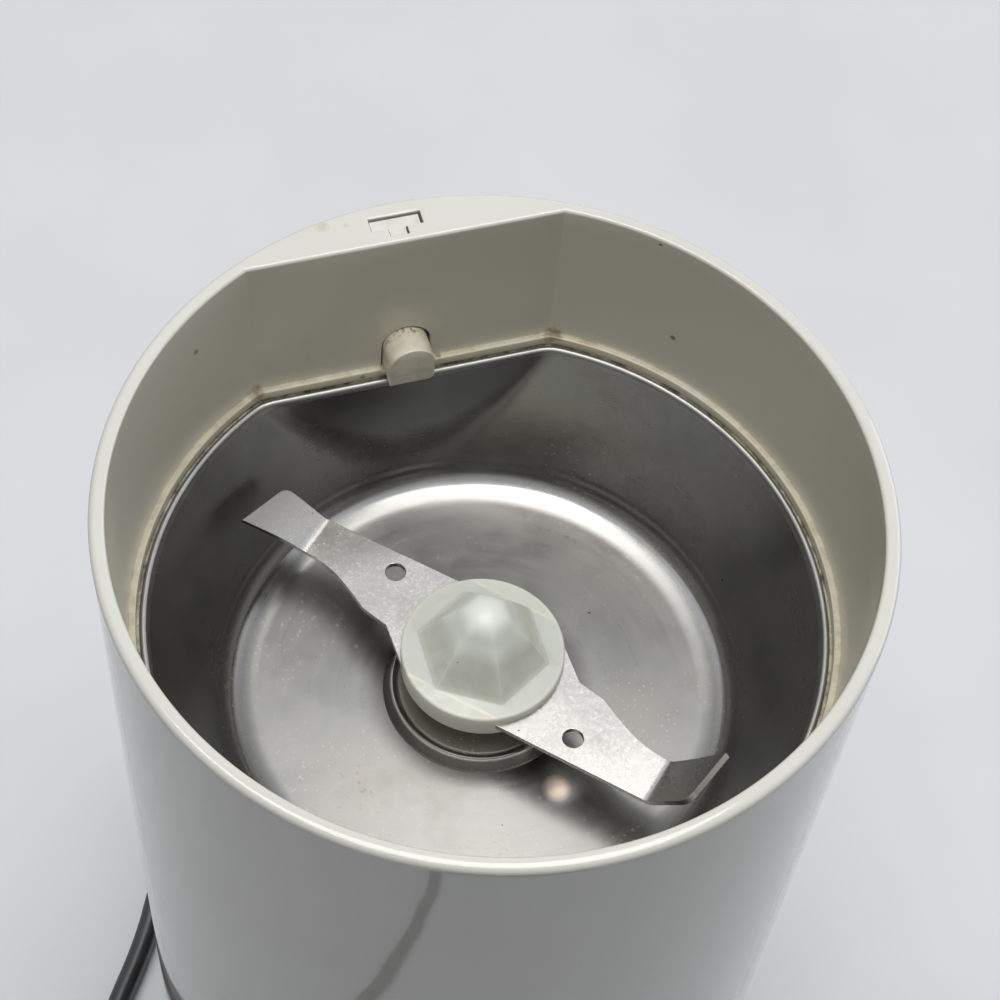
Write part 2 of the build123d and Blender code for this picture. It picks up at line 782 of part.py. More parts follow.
# ---------------------------------------------------------------- lower end shield with the brush gear
brush_z = (commutator_low_z + commutator_top_z - 1.6) / 2
brush_width = 5.0
brush_tall = 5.6
holder_wall = 1.0
holder_start = 12.0
holder_end = 25.0
pillar_top_z = brush_z - brush_tall / 2 - holder_wall - 0.1
with BuildPart() as end_shield:
    with BuildSketch(Plane.XY.offset(shield_low_z)):
        Rectangle(2 * bolt_reach + leg_width, leg_depth)
        Rectangle(leg_depth, 2 * holder_end - 1.0)
        Circle(12.0)
    extrude(amount=shield_plate)
    with BuildSketch(Plane.XY.offset(shield_top_z)):
        with Locations((-bolt_reach, 0), (bolt_reach, 0)):
            Rectangle(leg_width, leg_depth)
    extrude(amount=shield_leg)
    with BuildSketch(Plane.XY.offset(shield_top_z)):
        with Locations((0, -(holder_start + holder_end) / 2), (0, (holder_start + holder_end) / 2)):
            Rectangle(leg_depth, holder_end - holder_start - 1.0)
    extrude(amount=pillar_top_z - shield_top_z)
    with BuildSketch(Plane.XY.offset(shield_low_z - 1.5)):
        Circle(bearing_radius + bearing_seat)
    extrude(amount=shield_plate + 1.5)
    with BuildSketch(Plane.XY.offset(shield_low_z - 2.0)):
        Circle(bearing_radius + fit)
        with Locations((-bolt_reach, 0), (bolt_reach, 0)):
            Circle(bolt_radius + bolt_clear)
    extrude(amount=shield_plate + shield_leg + 2.0, mode=Mode.SUBTRACT)
save(end_shield.part, "end_shield")

motor_bolt_spots = [(-bolt_reach, 0), (bolt_reach, 0)]
save(
    screws(motor_bolt_spots, shield_low_z, carrier_top_z - 0.5 - shield_low_z, 3.6, bolt_radius),
    "motor_bolts",
)

sides = ((1, 0), (-1, 180))


def brush_plane(turn, reach):
    """A plane facing away from the shaft at the height of the brushes."""
    side = -1 if turn else 1
    return Plane(origin=(0, side * reach, brush_z), x_dir=(-side, 0, 0), z_dir=(0, side, 0))


with BuildPart() as brush_holders:
    for side, turn in sides:
        with BuildSketch(brush_plane(turn, holder_start)):
            Rectangle(brush_width + 2 * holder_wall + 0.2, brush_tall + 2 * holder_wall + 0.2)
            Rectangle(brush_width + 0.2, brush_tall + 0.2, mode=Mode.SUBTRACT)
        extrude(amount=holder_end - holder_start)
        with BuildSketch(brush_plane(turn, holder_end - holder_wall)):
            Rectangle(brush_width + 1.2, brush_tall + 1.2)
        extrude(amount=holder_wall)
save(brush_holders.part, "brush_holders")

brush_length = 9.5
brush_gap = 0.08
with BuildPart() as brushes:
    for side, turn in sides:
        with BuildSketch(brush_plane(turn, commutator_radius - 0.6)):
            Rectangle(brush_width, brush_tall)
        extrude(amount=brush_length)
    with BuildSketch(Plane.XY.offset(brush_z - brush_tall)):
        Circle(commutator_radius + brush_gap)
    extrude(amount=2 * brush_tall, mode=Mode.SUBTRACT)
save(brushes.part, "brushes")

brush_end = commutator_radius - 0.6 + brush_length
upright = coil_spring(1.9, 0.6, 4, brush_end + 0.05, holder_end - holder_wall - 0.05, (0, 0))
near_brush_spring = Pos(0, 0, brush_z) * (Rot(-90, 0, 0) * upright)
far_brush_spring = Pos(0, 0, brush_z) * (Rot(90, 0, 0) * upright)
with BuildPart() as brush_springs:
    add((near_brush_spring, far_brush_spring))
save(brush_springs.part, "brush_springs")

# ---------------------------------------------------------------- switch: bracket, body, pin and lever
switch_plate = 2.0
switch_back_y = 31.2
switch_front_y = 37.6
switch_low_x = -18.0
switch_high_x = 2.0
switch_top_z = carrier_low_z - 12.0
switch_low_z = switch_top_z - 10.0
pivot_x = -16.5
pivot_z = switch_top_z + 1.2
pivot_radius = 0.5
barrel_radius = 0.85
lever_sheet = 0.4
lever_lift = 13.0  # degrees up at rest
lever_length = 18.4
lever_inset = 1.2  # lever's edges from the switch's faces
pin_reach = 8.0  # pivot to pin
pin_radius = 0.8
pin_x = pivot_x + pin_reach
lever_reach = rod_x - pivot_x
lever_slope = radians(lever_lift)
pin_top_z = pivot_z + pin_reach * tan(lever_slope) - lever_sheet / 2 / cos(lever_slope) - gap
pin_low_z = switch_top_z - 4.5
pin_travel = plunger_travel * pin_reach / lever_reach
switch_screw_spots = ((-13.0, switch_low_z + 3.0), (-3.0, switch_low_z + 3.0))


def facing_back(y):
    """A sketch plane at a given y, seen from the front of the chord wall, extruding towards -Y."""
    return Plane.XZ.offset(-y)


switch_mid_y = (switch_back_y + switch_front_y) / 2
bracket_low_y = 22.0
bracket_low_x = switch_low_x - 2.0
bracket_width = switch_high_x + 2.0 - bracket_low_x
bracket_mid_x = bracket_low_x + bracket_width / 2
with BuildPart() as switch_bracket:
    with BuildSketch(Plane.XY.offset(switch_low_z)):
        with Locations((bracket_mid_x, switch_back_y - switch_plate / 2)):
            Rectangle(bracket_width, switch_plate)
    extrude(amount=carrier_low_z - switch_low_z)
    with BuildSketch(Plane.XY.offset(carrier_low_z - switch_plate)):
        with Locations((bracket_mid_x, (bracket_low_y + switch_back_y) / 2)):
            Rectangle(bracket_width, switch_back_y - bracket_low_y)
    extrude(amount=switch_plate)
    with BuildSketch(Plane.XY.offset(carrier_low_z - switch_plate)):
        with Locations(*bracket_screw_spots):
            Circle(bracket_pilot + 0.2)
    extrude(amount=switch_plate, mode=Mode.SUBTRACT)
    with BuildSketch(facing_back(switch_back_y)):
        with Locations(*switch_screw_spots):
            Circle(bracket_pilot)
    extrude(amount=switch_plate, mode=Mode.SUBTRACT)
save(switch_bracket.part, "switch_bracket")
bracket_screws = screws(bracket_screw_spots, carrier_low_z - switch_plate, 4.4, 2.4, bracket_pilot - fit)
save(bracket_screws, "bracket_screws")

with BuildPart() as microswitch:
    with BuildSketch(Plane.XY.offset(switch_low_z)):
        with Locations(((switch_low_x + switch_high_x) / 2, switch_mid_y)):
            Rectangle(switch_high_x - switch_low_x, switch_front_y - switch_back_y)
    extrude(amount=switch_top_z - switch_low_z)
    for y in (switch_back_y + 0.9, switch_front_y):
        with BuildSketch(facing_back(y)):
            with Locations((pivot_x, pivot_z)):
                Circle(1.3)
            with Locations((pivot_x, (pivot_z + switch_top_z - 1.0) / 2)):
                Rectangle(2.6, pivot_z - switch_top_z + 1.0)
        extrude(amount=0.9)
    with BuildSketch(facing_back(switch_front_y)):
        with Locations((pivot_x, pivot_z)):
            Circle(pivot_radius)
    extrude(amount=switch_front_y - switch_back_y)
    with BuildSketch(Plane.XY.offset(switch_top_z)):
        with Locations((pin_x, switch_mid_y)):
            Circle(pin_radius + running)
    extrude(amount=pin_low_z - pin_travel - gap - switch_top_z, mode=Mode.SUBTRACT)
    with BuildSketch(facing_back(switch_front_y)):
        with Locations(*switch_screw_spots):
            Circle(bracket_pilot)
    extrude(amount=switch_front_y - switch_back_y, mode=Mode.SUBTRACT)
save(microswitch.part, "microswitch")

with BuildPart() as switch_screws:
    with BuildSketch(facing_back(switch_front_y + 1.2)):
        with Locations(*switch_screw_spots):
            Circle(1.9)
    extrude(amount=1.2)
    with BuildSketch(facing_back(switch_front_y)):
        with Locations(*switch_screw_spots):
            Circle(bracket_pilot - fit)
    extrude(amount=switch_front_y - switch_back_y + switch_plate - 0.2)
    with BuildSketch(facing_back(switch_front_y + 1.2)):
        with Locations(*switch_screw_spots):
            Rectangle(2.6, 0.5)
    extrude(amount=0.6, mode=Mode.SUBTRACT)
save(switch_screws.part, "switch_screws")

with BuildPart() as switch_pin:
    with BuildSketch(Plane.XY.offset(pin_low_z)):
        with Locations((pin_x, switch_mid_y)):
            Circle(pin_radius)
    extrude(amount=pin_top_z - pin_low_z)
    chamfer(switch_pin.edges().filter_by(GeomType.CIRCLE).sort_by(Axis.Z)[-1], 0.3)
save(switch_pin.part, "switch_pin")

with BuildPart() as switch_lever:
    with BuildSketch(facing_back(switch_front_y - lever_inset)):
        with Locations((pivot_x, pivot_z)):
            Circle(barrel_radius)
            Rectangle(lever_length, lever_sheet, rotation=lever_lift, align=(Align.MIN, Align.CENTER))
            Circle(pivot_radius + running, mode=Mode.SUBTRACT)
    extrude(amount=switch_front_y - switch_back_y - 2 * lever_inset)
save(switch_lever.part, "switch_lever")

# ---------------------------------------------------------------- plunger and its spring
strip_y = channel_y + 1.5
strip_radius = channel_radius - gap
strip_half = 6.0
strip_edge = 2.4  # material above and below the strip's window
strip_window_half = 4.2
strip_window_low_z = button_low_z - 1.1
strip_window_high_z = strip_window_low_z + 11.8
block_low_z = 116.0
block_high_z = 119.5
block_half = 2.5
pad_drop = 0.4  # pad's top below the rim
pad_clear = 0.3  # at the ends of the slot, both together
nub_radius = 1.0
nub_z = pivot_z + lever_reach * tan(lever_slope) + (nub_radius + lever_sheet / 2 + gap) / cos(lever_slope)


def strip_section(centre, width):
    """Plan of the plunger's strip: flat in front, round behind."""
    with BuildSketch(mode=Mode.PRIVATE) as section:
        Circle(strip_radius)
        with Locations((centre, strip_y + 5.0)):
            Rectangle(width, 10.0, mode=Mode.INTERSECT)
    return section.sketch


with BuildPart() as plunger:
    with BuildSketch(Plane.XY.offset(strip_window_low_z - strip_edge)):
        add(strip_section(0.0, 2 * strip_half))
    extrude(amount=strip_window_high_z - strip_window_low_z + 2 * strip_edge)
    with BuildSketch(Plane.XY.offset(strip_window_high_z)):
        add(strip_section(slot_offset, slot_width - 0.4))
    extrude(amount=channel_top_z - gap - strip_window_high_z)
    # T-shaped pad that fills the slot, for the lid's tongue to press
    with BuildSketch(Plane.XY.offset(channel_top_z - gap)):
        with Locations((slot_offset - 0.1, slot_step_y + slot_depth / 2 - 0.05)):
            Rectangle(slot_width - pad_clear - 0.1, slot_depth - pad_clear)
        with Locations((slot_offset - 0.05, slot_step_y - (slot_stem_depth - pad_clear) / 2)):
            Rectangle(slot_stem_width - pad_clear, slot_stem_depth)
    extrude(amount=plate_thickness + gap - pad_drop)
    with BuildSketch(facing_back(strip_radius + 1.0)):
        with Locations((0, (strip_window_low_z + strip_window_high_z) / 2)):
            Rectangle(2 * strip_window_half, strip_window_high_z - strip_window_low_z)
    extrude(amount=5.0, mode=Mode.SUBTRACT)
    with BuildSketch(Plane.XY.offset(block_low_z)):
        with Locations((rod_x, (strip_y + strip_radius - 0.5) / 2)):
            Rectangle(2 * block_half, strip_radius - 0.5 - strip_y)
    extrude(amount=strip_window_low_z - block_low_z)
    with BuildSketch(Plane.XY.offset(block_low_z)):
        with Locations((rod_x, (rod_y - block_half + strip_y) / 2)):
            Rectangle(2 * block_half, strip_y - rod_y + block_half)
    extrude(amount=block_high_z - block_low_z)
    with BuildSketch(Plane.XY.offset(nub_z)):
        with Locations((rod_x, rod_y)):
            Circle(rod_radius)
    extrude(amount=block_low_z - nub_z)
    with BuildSketch(Plane.XY.offset(nub_z)):
        with Locations((rod_x, (switch_back_y + 2.2 + rod_y + rod_radius) / 2)):
            Rectangle(4.0, rod_y + rod_radius - switch_back_y - 2.2)
    extrude(amount=carrier_low_z - gap - nub_z)
    with BuildSketch(facing_back(switch_front_y - lever_inset)):
        with Locations((rod_x, nub_z)):
            Circle(nub_radius)
    extrude(amount=switch_front_y - switch_back_y - lever_inset - 2.2)
save(plunger.part, "plunger")
save(coil_spring(1.95, 0.6, 5, carrier_top_z, block_low_z, (rod_x, rod_y)), "plunger_spring")

# ---------------------------------------------------------------- interlock button and its spring
flange = 0.9
flange_half = 3.8
flange_low_z = button_low_z - 0.7
flange_high_z = button_low_z + button_height + 1.1
spring_bore = 2.0
spring_z = button_low_z + 3.1
button_front_y = chord_face_y - button_stand
flange_back_y = channel_y + running + flange
bore_end_y = button_front_y + 1.6
with BuildPart() as interlock_button:
    with BuildSketch(button_plane.offset(button_stand)):
        add(arch(button_width, button_side))
    extrude(amount=-(flange_back_y - button_front_y))
    chamfer(interlock_button.faces().sort_by(Axis.Y)[0].edges(), 0.25)
    with BuildSketch(facing_back(flange_back_y)):
        with Locations((button_offset, (flange_low_z + flange_high_z) / 2)):
            Rectangle(2 * flange_half, flange_high_z - flange_low_z)
    extrude(amount=flange)
    with BuildSketch(facing_back(flange_back_y)):
        with Locations((button_offset, spring_z)):
            Circle(spring_bore)
    extrude(amount=flange_back_y - bore_end_y, mode=Mode.SUBTRACT)
save(interlock_button.part, "interlock_button")

spring_end_y = channel_radius - 0.12
upright_spring = coil_spring(1.4, 0.4, 4, bore_end_y, spring_end_y, (0, 0))
laid_spring = Pos(button_offset, 0, spring_z) * (Rot(-90, 0, 0) * upright_spring)
save(laid_spring, "interlock_spring")

# ---------------------------------------------------------------- base plate, its screws and the feet
base_radius = inside_radius - gap
base_spots = [boss_spot(angle, base_top_z, boss_inset) for angle in base_boss_angles]
foot_ring = 34.5
foot_radius = 5.0
stem_radius = 2.0
capacitor_size = (18.0, 8.0, 15.0)
capacitor_spot = (-22.0, -12.0)
with BuildPart() as base_plate:
    with BuildSketch(Plane.XY.offset(foot_height)):
        Circle(base_radius)
        with Locations(*base_spots):
            Circle(1.6, mode=Mode.SUBTRACT)
        with PolarLocations(foot_ring, 4, start_angle=45):
            Circle(stem_radius + fit, mode=Mode.SUBTRACT)
        with PolarLocations(18.0, 8, start_angle=22.5):
            Rectangle(15.0, 2.4, mode=Mode.SUBTRACT)
    extrude(amount=base_top_z - foot_height)
    with BuildSketch(Plane.XY.offset(foot_height)):
        with Locations(*base_spots):
            Circle(3.2)
    extrude(amount=1.2, mode=Mode.SUBTRACT)
    with BuildSketch(Plane.XY.offset(base_top_z)):
        with Locations(capacitor_spot):
            Rectangle(capacitor_size[0] + 2.4, capacitor_size[1] + 2.4)
            Rectangle(capacitor_size[0] + 2 * fit, capacitor_size[1] + 2 * fit, mode=Mode.SUBTRACT)
    extrude(amount=5.0)
save(base_plate.part, "base_plate")
save(screws(base_spots, foot_height + 1.2, 8.0, 2.8, pilot_radius - fit), "base_screws")

with BuildPart() as feet:
    with BuildSketch(Plane.XY):
        with PolarLocations(foot_ring, 4, start_angle=45):
            Circle(foot_radius)
    extrude(amount=foot_height)
    chamfer(feet.edges().filter_by_position(Axis.Z, -0.01, 0.01), 0.6)
    with BuildSketch(Plane.XY.offset(foot_height)):
        with PolarLocations(foot_ring, 4, start_angle=45):
            Circle(stem_radius)
    extrude(amount=base_top_z - foot_height)
save(feet.part, "feet")

with BuildPart() as capacitor:
    with BuildSketch(Plane.XY.offset(base_top_z)):
        with Locations(capacitor_spot):
            Rectangle(capacitor_size[0], capacitor_size[1])
    extrude(amount=capacitor_size[2])
    chamfer(capacitor.edges().filter_by_position(Axis.Z, base_top_z + 1, base_top_z + 99), 0.8)
save(capacitor.part, "capacitor")

# ---------------------------------------------------------------- strain relief
boot_bend = 14.6
boot_turn = 88.0
boot_start = outer_radius(exit_z) - 0.2
boot_core = 3.7
heading = radians(exit_angle)
bend_spot = (
    boot_start * cos(heading) - boot_bend * sin(heading),
    boot_start * sin(heading) + boot_bend * cos(heading),
)
bend_axis = Axis((bend_spot[0], bend_spot[1], 0), (0, 0, 1))
flange_reach = inside_radius - 0.8
with BuildPart() as strain_relief:
    with BuildSketch(exit_plane.offset(boot_start)):
        Circle(boot_core)
    revolve(axis=bend_axis, revolution_arc=boot_turn)
    with BuildSketch(exit_plane.offset(flange_reach)):
        Circle(boot_neck)
    extrude(amount=boot_start - flange_reach)
    with BuildSketch(exit_plane.offset(flange_reach - 1.6)):
        Circle(boot_neck + 1.4)
    extrude(amount=1.6)
save(strain_relief.part, "strain_relief")

# ---------------------------------------------------------------- cord
cord_turn = heading + radians(boot_turn)
boot_end = (bend_spot[0] + boot_bend * sin(cord_turn), bend_spot[1] - boot_bend * cos(cord_turn))
lying = cord_width / 2
route = [
    (boot_end[0], boot_end[1], exit_z),
    (-11.6, 61.4, exit_z),
    (-20.4, 59.5, 9.6),
    (-28.3, 54.2, 7.2),
    (-34.8, 45.3, 4.8),
    (-40.2, 34.6, 3.2),
    (-44.9, 24.9, lying),
    (-52.8, 13.4, lying),
    (-58.3, 1.5, lying),
    (-60.6, -13.0, lying),
    (-61.0, -33.0, lying),
    (-60.2, -52.0, lying),
    (-57.6, -70.0, lying),
    (-52.8, -88.0, lying),
    (-48.6, -107.0, lying),
    (-42.9, -125.0, lying),
    (-38.0, -141.0, lying),
    (-35.9, -156.3, lying),
]
coil_spot = (-6.0, -151.0)
coil_inner_radius = 22.0
coil_outer_radius = 32.0
coil_height = 2 * cord_width
plug_thickness = 13.7
plug_mid_z = coil_height + plug_thickness / 2
tail_route = [
    (10.6, -172.9, 1.5 * cord_width),
    (18.0, -160.2, 9.8),
    (15.5, -146.2, 14.2),
    (4.8, -137.3, plug_mid_z),
    (-9.6, -137.3, plug_mid_z),
]


def cord_tube(points, name):
    """A round cord along straight runs joined by arcs; prints the smallest radius."""
    radii = []
    for before, here, after in zip(points, points[1:], points[2:]):
        incoming = Vector(*here) - Vector(*before)
        outgoing = Vector(*after) - Vector(*here)
        half_turn = radians(incoming.get_angle(outgoing)) / 2
        radii.append(0.45 * min(incoming.length, outgoing.length) / tan(half_turn))
    with BuildPart(mode=Mode.PRIVATE) as cord_part:
        with BuildLine() as run:
            path = FilletPolyline(*points, radius=radii)
        with BuildSketch(Plane(origin=path @ 0, z_dir=path % 0)):
            Circle(cord_width / 2)
        sweep(path=path)
    print(name, "least radius", round(min(radii), 1), "length", round(path.length, 1))
    plain_volume = path.length * pi * lying**2
    print(name, "volume against section and length", round(cord_part.part.volume / plain_volume, 3))
    return cord_part.part


coil_ring = tube(coil_inner_radius, coil_outer_radius, 0, coil_height, coil_spot)
save(coil_ring, "cord_coil")
save(cord_tube(route, "cord") - coil_ring - strain_relief.part, "cord")
save(cord_tube(tail_route, "cord_tail") - coil_ring, "cord_tail")

# ---------------------------------------------------------------- plug, lying on the coil
plug_end = tail_route[-1]
nose_length = 9.0
plug_length = 26.0
plug_width = 35.0
plug_waist = 18.0
nose_radius = 4.2
pin_spacing = 18.6
pin_length = 19.0
sleeve_length = 10.0
blade_pin_radius = 2.0
pin_core = 1.5
plug_low_x = plug_end[0] - nose_length - plug_length
nose_plane = Plane(origin=plug_end, x_dir=(0, 1, 0), z_dir=(-1, 0, 0))
face_plane = Plane(origin=(plug_low_x, plug_end[1], plug_mid_z), x_dir=(0, 1, 0), z_dir=(-1, 0, 0))
pin_spots = ((-pin_spacing / 2, 0), (pin_spacing / 2, 0))
with BuildPart() as plug_body:
    with BuildSketch(Plane.XY.offset(coil_height)):
        with BuildLine():
            Polyline(
                (plug_low_x, plug_end[1] - plug_width / 2),
                (plug_low_x + 13.0, plug_end[1] - plug_width / 2),
                (plug_low_x + plug_length, plug_end[1] - plug_waist / 2),
                (plug_low_x + plug_length, plug_end[1] + plug_waist / 2),
                (plug_low_x + 13.0, plug_end[1] + plug_width / 2),
                (plug_low_x, plug_end[1] + plug_width / 2),
                close=True,
            )
        make_face()
    extrude(amount=plug_thickness)
    chamfer(plug_body.edges().filter_by(Axis.Z), 3.0)
    chamfer(plug_body.edges().filter_by_position(Axis.Z, coil_height - 0.01, coil_height + 0.01), 1.2)
    chamfer(plug_body.edges().filter_by_position(Axis.Z, plug_mid_z * 2 - coil_height - 0.01, 99.0), 1.2)
    with BuildSketch(nose_plane):
        Circle(nose_radius - 0.8)
    with BuildSketch(nose_plane.offset(nose_length + 1.0)):
        Circle(nose_radius)
    loft()
    with BuildSketch(face_plane):
        with Locations(*pin_spots):
            Circle(blade_pin_radius - 0.1)
    extrude(amount=sleeve_length)
    with BuildSketch(face_plane.offset(-6.0)):
        with Locations(*pin_spots):
            Circle(pin_core + fit)
    extrude(amount=6.0 + sleeve_length, mode=Mode.SUBTRACT)
save(plug_body.part, "plug_body")

with BuildPart() as plug_pins:
    with BuildSketch(face_plane.offset(-6.0)):
        with Locations(*pin_spots):
            Circle(pin_core)
    extrude(amount=6.0 + sleeve_length)
    with BuildSketch(face_plane.offset(sleeve_length)):
        with Locations(*pin_spots):
            Circle(blade_pin_radius)
    extrude(amount=pin_length - sleeve_length)
    chamfer(plug_pins.edges().filter_by(GeomType.CIRCLE).sort_by(Axis.X)[:2], 1.0)
save(plug_pins.part, "plug_pins")
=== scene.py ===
# Electric spice grinder, opened, seen from above
from math import acos, atan2, cos, exp, hypot, pi, radians, sin, sqrt

import bmesh
import bpy
from mathutils import Matrix, Quaternion, Vector


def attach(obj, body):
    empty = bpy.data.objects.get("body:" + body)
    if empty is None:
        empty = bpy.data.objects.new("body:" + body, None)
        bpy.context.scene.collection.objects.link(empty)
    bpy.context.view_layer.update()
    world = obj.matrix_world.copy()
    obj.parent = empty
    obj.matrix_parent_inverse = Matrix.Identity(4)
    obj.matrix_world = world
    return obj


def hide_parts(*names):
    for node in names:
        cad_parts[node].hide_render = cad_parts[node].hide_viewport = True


mm = 0.001
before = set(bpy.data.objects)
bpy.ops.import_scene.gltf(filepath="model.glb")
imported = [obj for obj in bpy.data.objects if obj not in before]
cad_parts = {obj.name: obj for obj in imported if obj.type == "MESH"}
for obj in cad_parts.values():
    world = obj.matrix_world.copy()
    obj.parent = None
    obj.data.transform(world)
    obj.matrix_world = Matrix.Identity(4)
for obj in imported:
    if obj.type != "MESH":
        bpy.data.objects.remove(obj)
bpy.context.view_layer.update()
print("frame loaded:", len(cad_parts), "nodes")


def colour(hexText):
    # sRGB hex to the linear values that sockets take
    channels = [int(hexText[i : i + 2], 16) / 255 for i in (1, 3, 5)]
    return [c / 12.92 if c <= 0.04045 else ((c + 0.055) / 1.055) ** 2.4 for c in channels] + [1.0]


def addNode(tree, kind, sockets=None, stops=None, **settings):
    # sockets takes values or the sockets to link from; stops are a colour ramp's places and hex colours
    made = tree.nodes.new("ShaderNode" + kind)
    for name, value in settings.items():
        setattr(made, name, value)
    for name, value in (sockets or {}).items():
        if isinstance(value, bpy.types.NodeSocket):
            tree.links.new(value, made.inputs[name])
        else:
            made.inputs[name].default_value = value
    if stops:
        ramp = made.color_ramp
        for place, hexText in stops[2:]:
            ramp.elements.new(place)
        for element, (place, hexText) in zip(ramp.elements, sorted(stops)):
            element.position = place
            element.color = colour(hexText)
    return made


def newMaterial(name, **fixed):
    # a Principled surface with its fixed values, and a point on the piece in millimetres
    made = bpy.data.materials.new(name)
    made.use_nodes = True
    tree = made.node_tree
    tree.nodes.clear()
    shader = addNode(tree, "BsdfPrincipled", {key.replace("_", " "): value for key, value in fixed.items()})
    addNode(tree, "OutputMaterial", {"Surface": shader.outputs[0]})
    place = addNode(tree, "TexCoord").outputs["Object"]
    point = addNode(tree, "VectorMath", {0: place, "Scale": 1000.0}, operation="SCALE").outputs[0]
    return made, tree, shader, point


def calc(tree, operation, *values):
    return addNode(tree, "Math", dict(enumerate(values)), operation=operation).outputs[0]


def scaled(tree, value, low=0.0, high=1.0, start=0.0, end=1.0):
    # a value between two limits, brought to start and end and held there beyond them
    limits = {"Value": value, "From Min": low, "From Max": high, "To Min": start, "To Max": end}
    return addNode(tree, "MapRange", limits).outputs[0]


def noise(tree, point, scale, detail=2.0, roughness=0.5, **others):
    sockets = {"Vector": point, "Scale": scale, "Detail": detail, "Roughness": roughness, **others}
    return addNode(tree, "TexNoise", sockets).outputs[0]


def shades(tree, value, *stops):
    return addNode(tree, "ValToRGB", {"Fac": value}, stops=list(stops)).outputs[0]


def feed(tree, shader, **sockets):
    for name, socket in sockets.items():
        tree.links.new(socket, shader.inputs[name.replace("_", " ")])


def relief(tree, height, strength, depth, sockets=None, **settings):
    # a bump whose full height is depth in mm
    given = {"Height": height, "Strength": strength, "Distance": depth * mm, **(sockets or {})}
    return addNode(tree, "Bump", given, **settings).outputs[0]


def distance(tree, point, spot):
    return addNode(tree, "VectorMath", {0: point, 1: spot}, operation="DISTANCE").outputs["Value"]


# camera, looking down into the mouth from the front left
viewFrom = {
    "spot": (-52.86, -135.58, 369.35), "target": (0.14, -0.12, 155.0), "roll": -0.1044, "lens": 84.3
}


def makeCamera(given):
    spot = Vector(given["spot"]) * mm
    ahead = (Vector(given["target"]) * mm - spot).normalized()
    right = ahead.cross(Vector((0, 0, 1))).normalized()
    down = ahead.cross(right)
    across = right * cos(given["roll"]) + down * sin(given["roll"])
    up = right * sin(given["roll"]) - down * cos(given["roll"])
    data = bpy.data.cameras.new("camera")
    data.lens = given["lens"]
    data.clip_start = 10 * mm
    camera = bpy.data.objects.new("camera", data)
    bpy.context.scene.collection.objects.link(camera)
    turn = Matrix((across, up, -ahead)).transposed().to_4x4()
    camera.matrix_world = Matrix.Translation(spot) @ turn
    bpy.context.scene.camera = camera


makeCamera(viewFrom)
print("camera placed")


# ways to make and place a mesh; sizes are in mm
def finishMesh(mesh, sharpAngle=30.0):
    work = bmesh.new()
    work.from_mesh(mesh)
    bmesh.ops.remove_doubles(work, verts=work.verts, dist=0.002 * mm)
    bmesh.ops.dissolve_degenerate(work, edges=work.edges, dist=0.001 * mm)
    bmesh.ops.recalc_face_normals(work, faces=work.faces)
    work.to_mesh(mesh)
    work.free()
    mesh.shade_smooth()
    mesh.set_sharp_from_angle(angle=radians(sharpAngle))
    return mesh


def skin(name, rings, closed=False, capped=False, sharpAngle=30.0):
    # quads between rings of equally many points, the last joined to the first or both ends filled
    count = len(rings[0])
    faces = []
    for i in range(len(rings) if closed else len(rings) - 1):
        j = (i + 1) % len(rings)
        for k in range(count):
            n = (k + 1) % count
            faces.append((i * count + k, i * count + n, j * count + n, j * count + k))
    if capped:
        last = (len(rings) - 1) * count
        faces += [tuple(range(count - 1, -1, -1)), tuple(range(last, last + count))]
    mesh = bpy.data.meshes.new(name)
    mesh.from_pydata([tuple(c * mm for c in point) for ring in rings for point in ring], [], faces)
    return finishMesh(mesh, sharpAngle)


def turned(name, profile, steps=192, place=None, sharpAngle=30.0):
    # a closed profile of (radius, height) turned about its upright axis
    rings = []
    for r, z in profile:
        rings.append([(r * cos(2 * pi * k / steps), r * sin(2 * pi * k / steps), z) for k in range(steps)])
    mesh = skin(name, rings, closed=True, sharpAngle=sharpAngle)
    if place:
        mesh.transform(place)
    return mesh


def stacked(name, outlines, place=None):
    # plane outlines of equally many points at their heights, closed to a solid
    mesh = skin(name, [[(x, y, z) for x, y in outline] for z, outline in outlines], capped=True)
    if place:
        mesh.transform(place)
    return mesh


def put(name, mesh, material, body, stands=()):
    made = bpy.data.objects.new(name, mesh)
    bpy.context.scene.collection.objects.link(made)
    mesh.materials.clear()
    mesh.materials.append(material)
    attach(made, body)
    if stands:
        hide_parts(*stands)
    return made


def cut(target, tools):
    # exact boolean differences, applied to the mesh
    scene = bpy.context.scene
    for mesh in tools:
        tool = bpy.data.objects.new("tool", mesh)
        scene.collection.objects.link(tool)
        change = target.modifiers.new("cut", "BOOLEAN")
        change.operation = "DIFFERENCE"
        change.solver = "EXACT"
        change.object = tool
        bpy.context.view_layer.update()
        result = bpy.data.meshes.new_from_object(
            target.evaluated_get(bpy.context.evaluated_depsgraph_get())
        )
        target.modifiers.clear()
        target.data = result
        bpy.data.objects.remove(tool)


def softMin(a, b, blend):
    # the smaller of two, rounded over where they meet
    near = max(blend - abs(a - b), 0.0) / blend
    return min(a, b) - near * near * blend / 4


def easeIn(t):
    t = min(max(t, 0.0), 1.0)
    return t * t * (3 - 2 * t)


# materials of the cord and plug
def flexVinyl():
    # soft PVC, extruded over the wires: near black, with a dull sheen and faint drag lines from the die
    made, tree, shader, point = newMaterial("extruded black PVC", IOR=1.53)
    dust = noise(tree, point, 0.35, 4.0)
    tone = shades(tree, dust, (0.35, "#1B1C1E"), (0.75, "#2A2C2E"))
    wear = scaled(tree, dust, start=0.3, end=0.46)
    grain = noise(tree, point, 3.0, 2.0)
    feed(tree, shader, Base_Color=tone, Roughness=wear, Normal=relief(tree, grain, 0.12, 0.05))
    return made


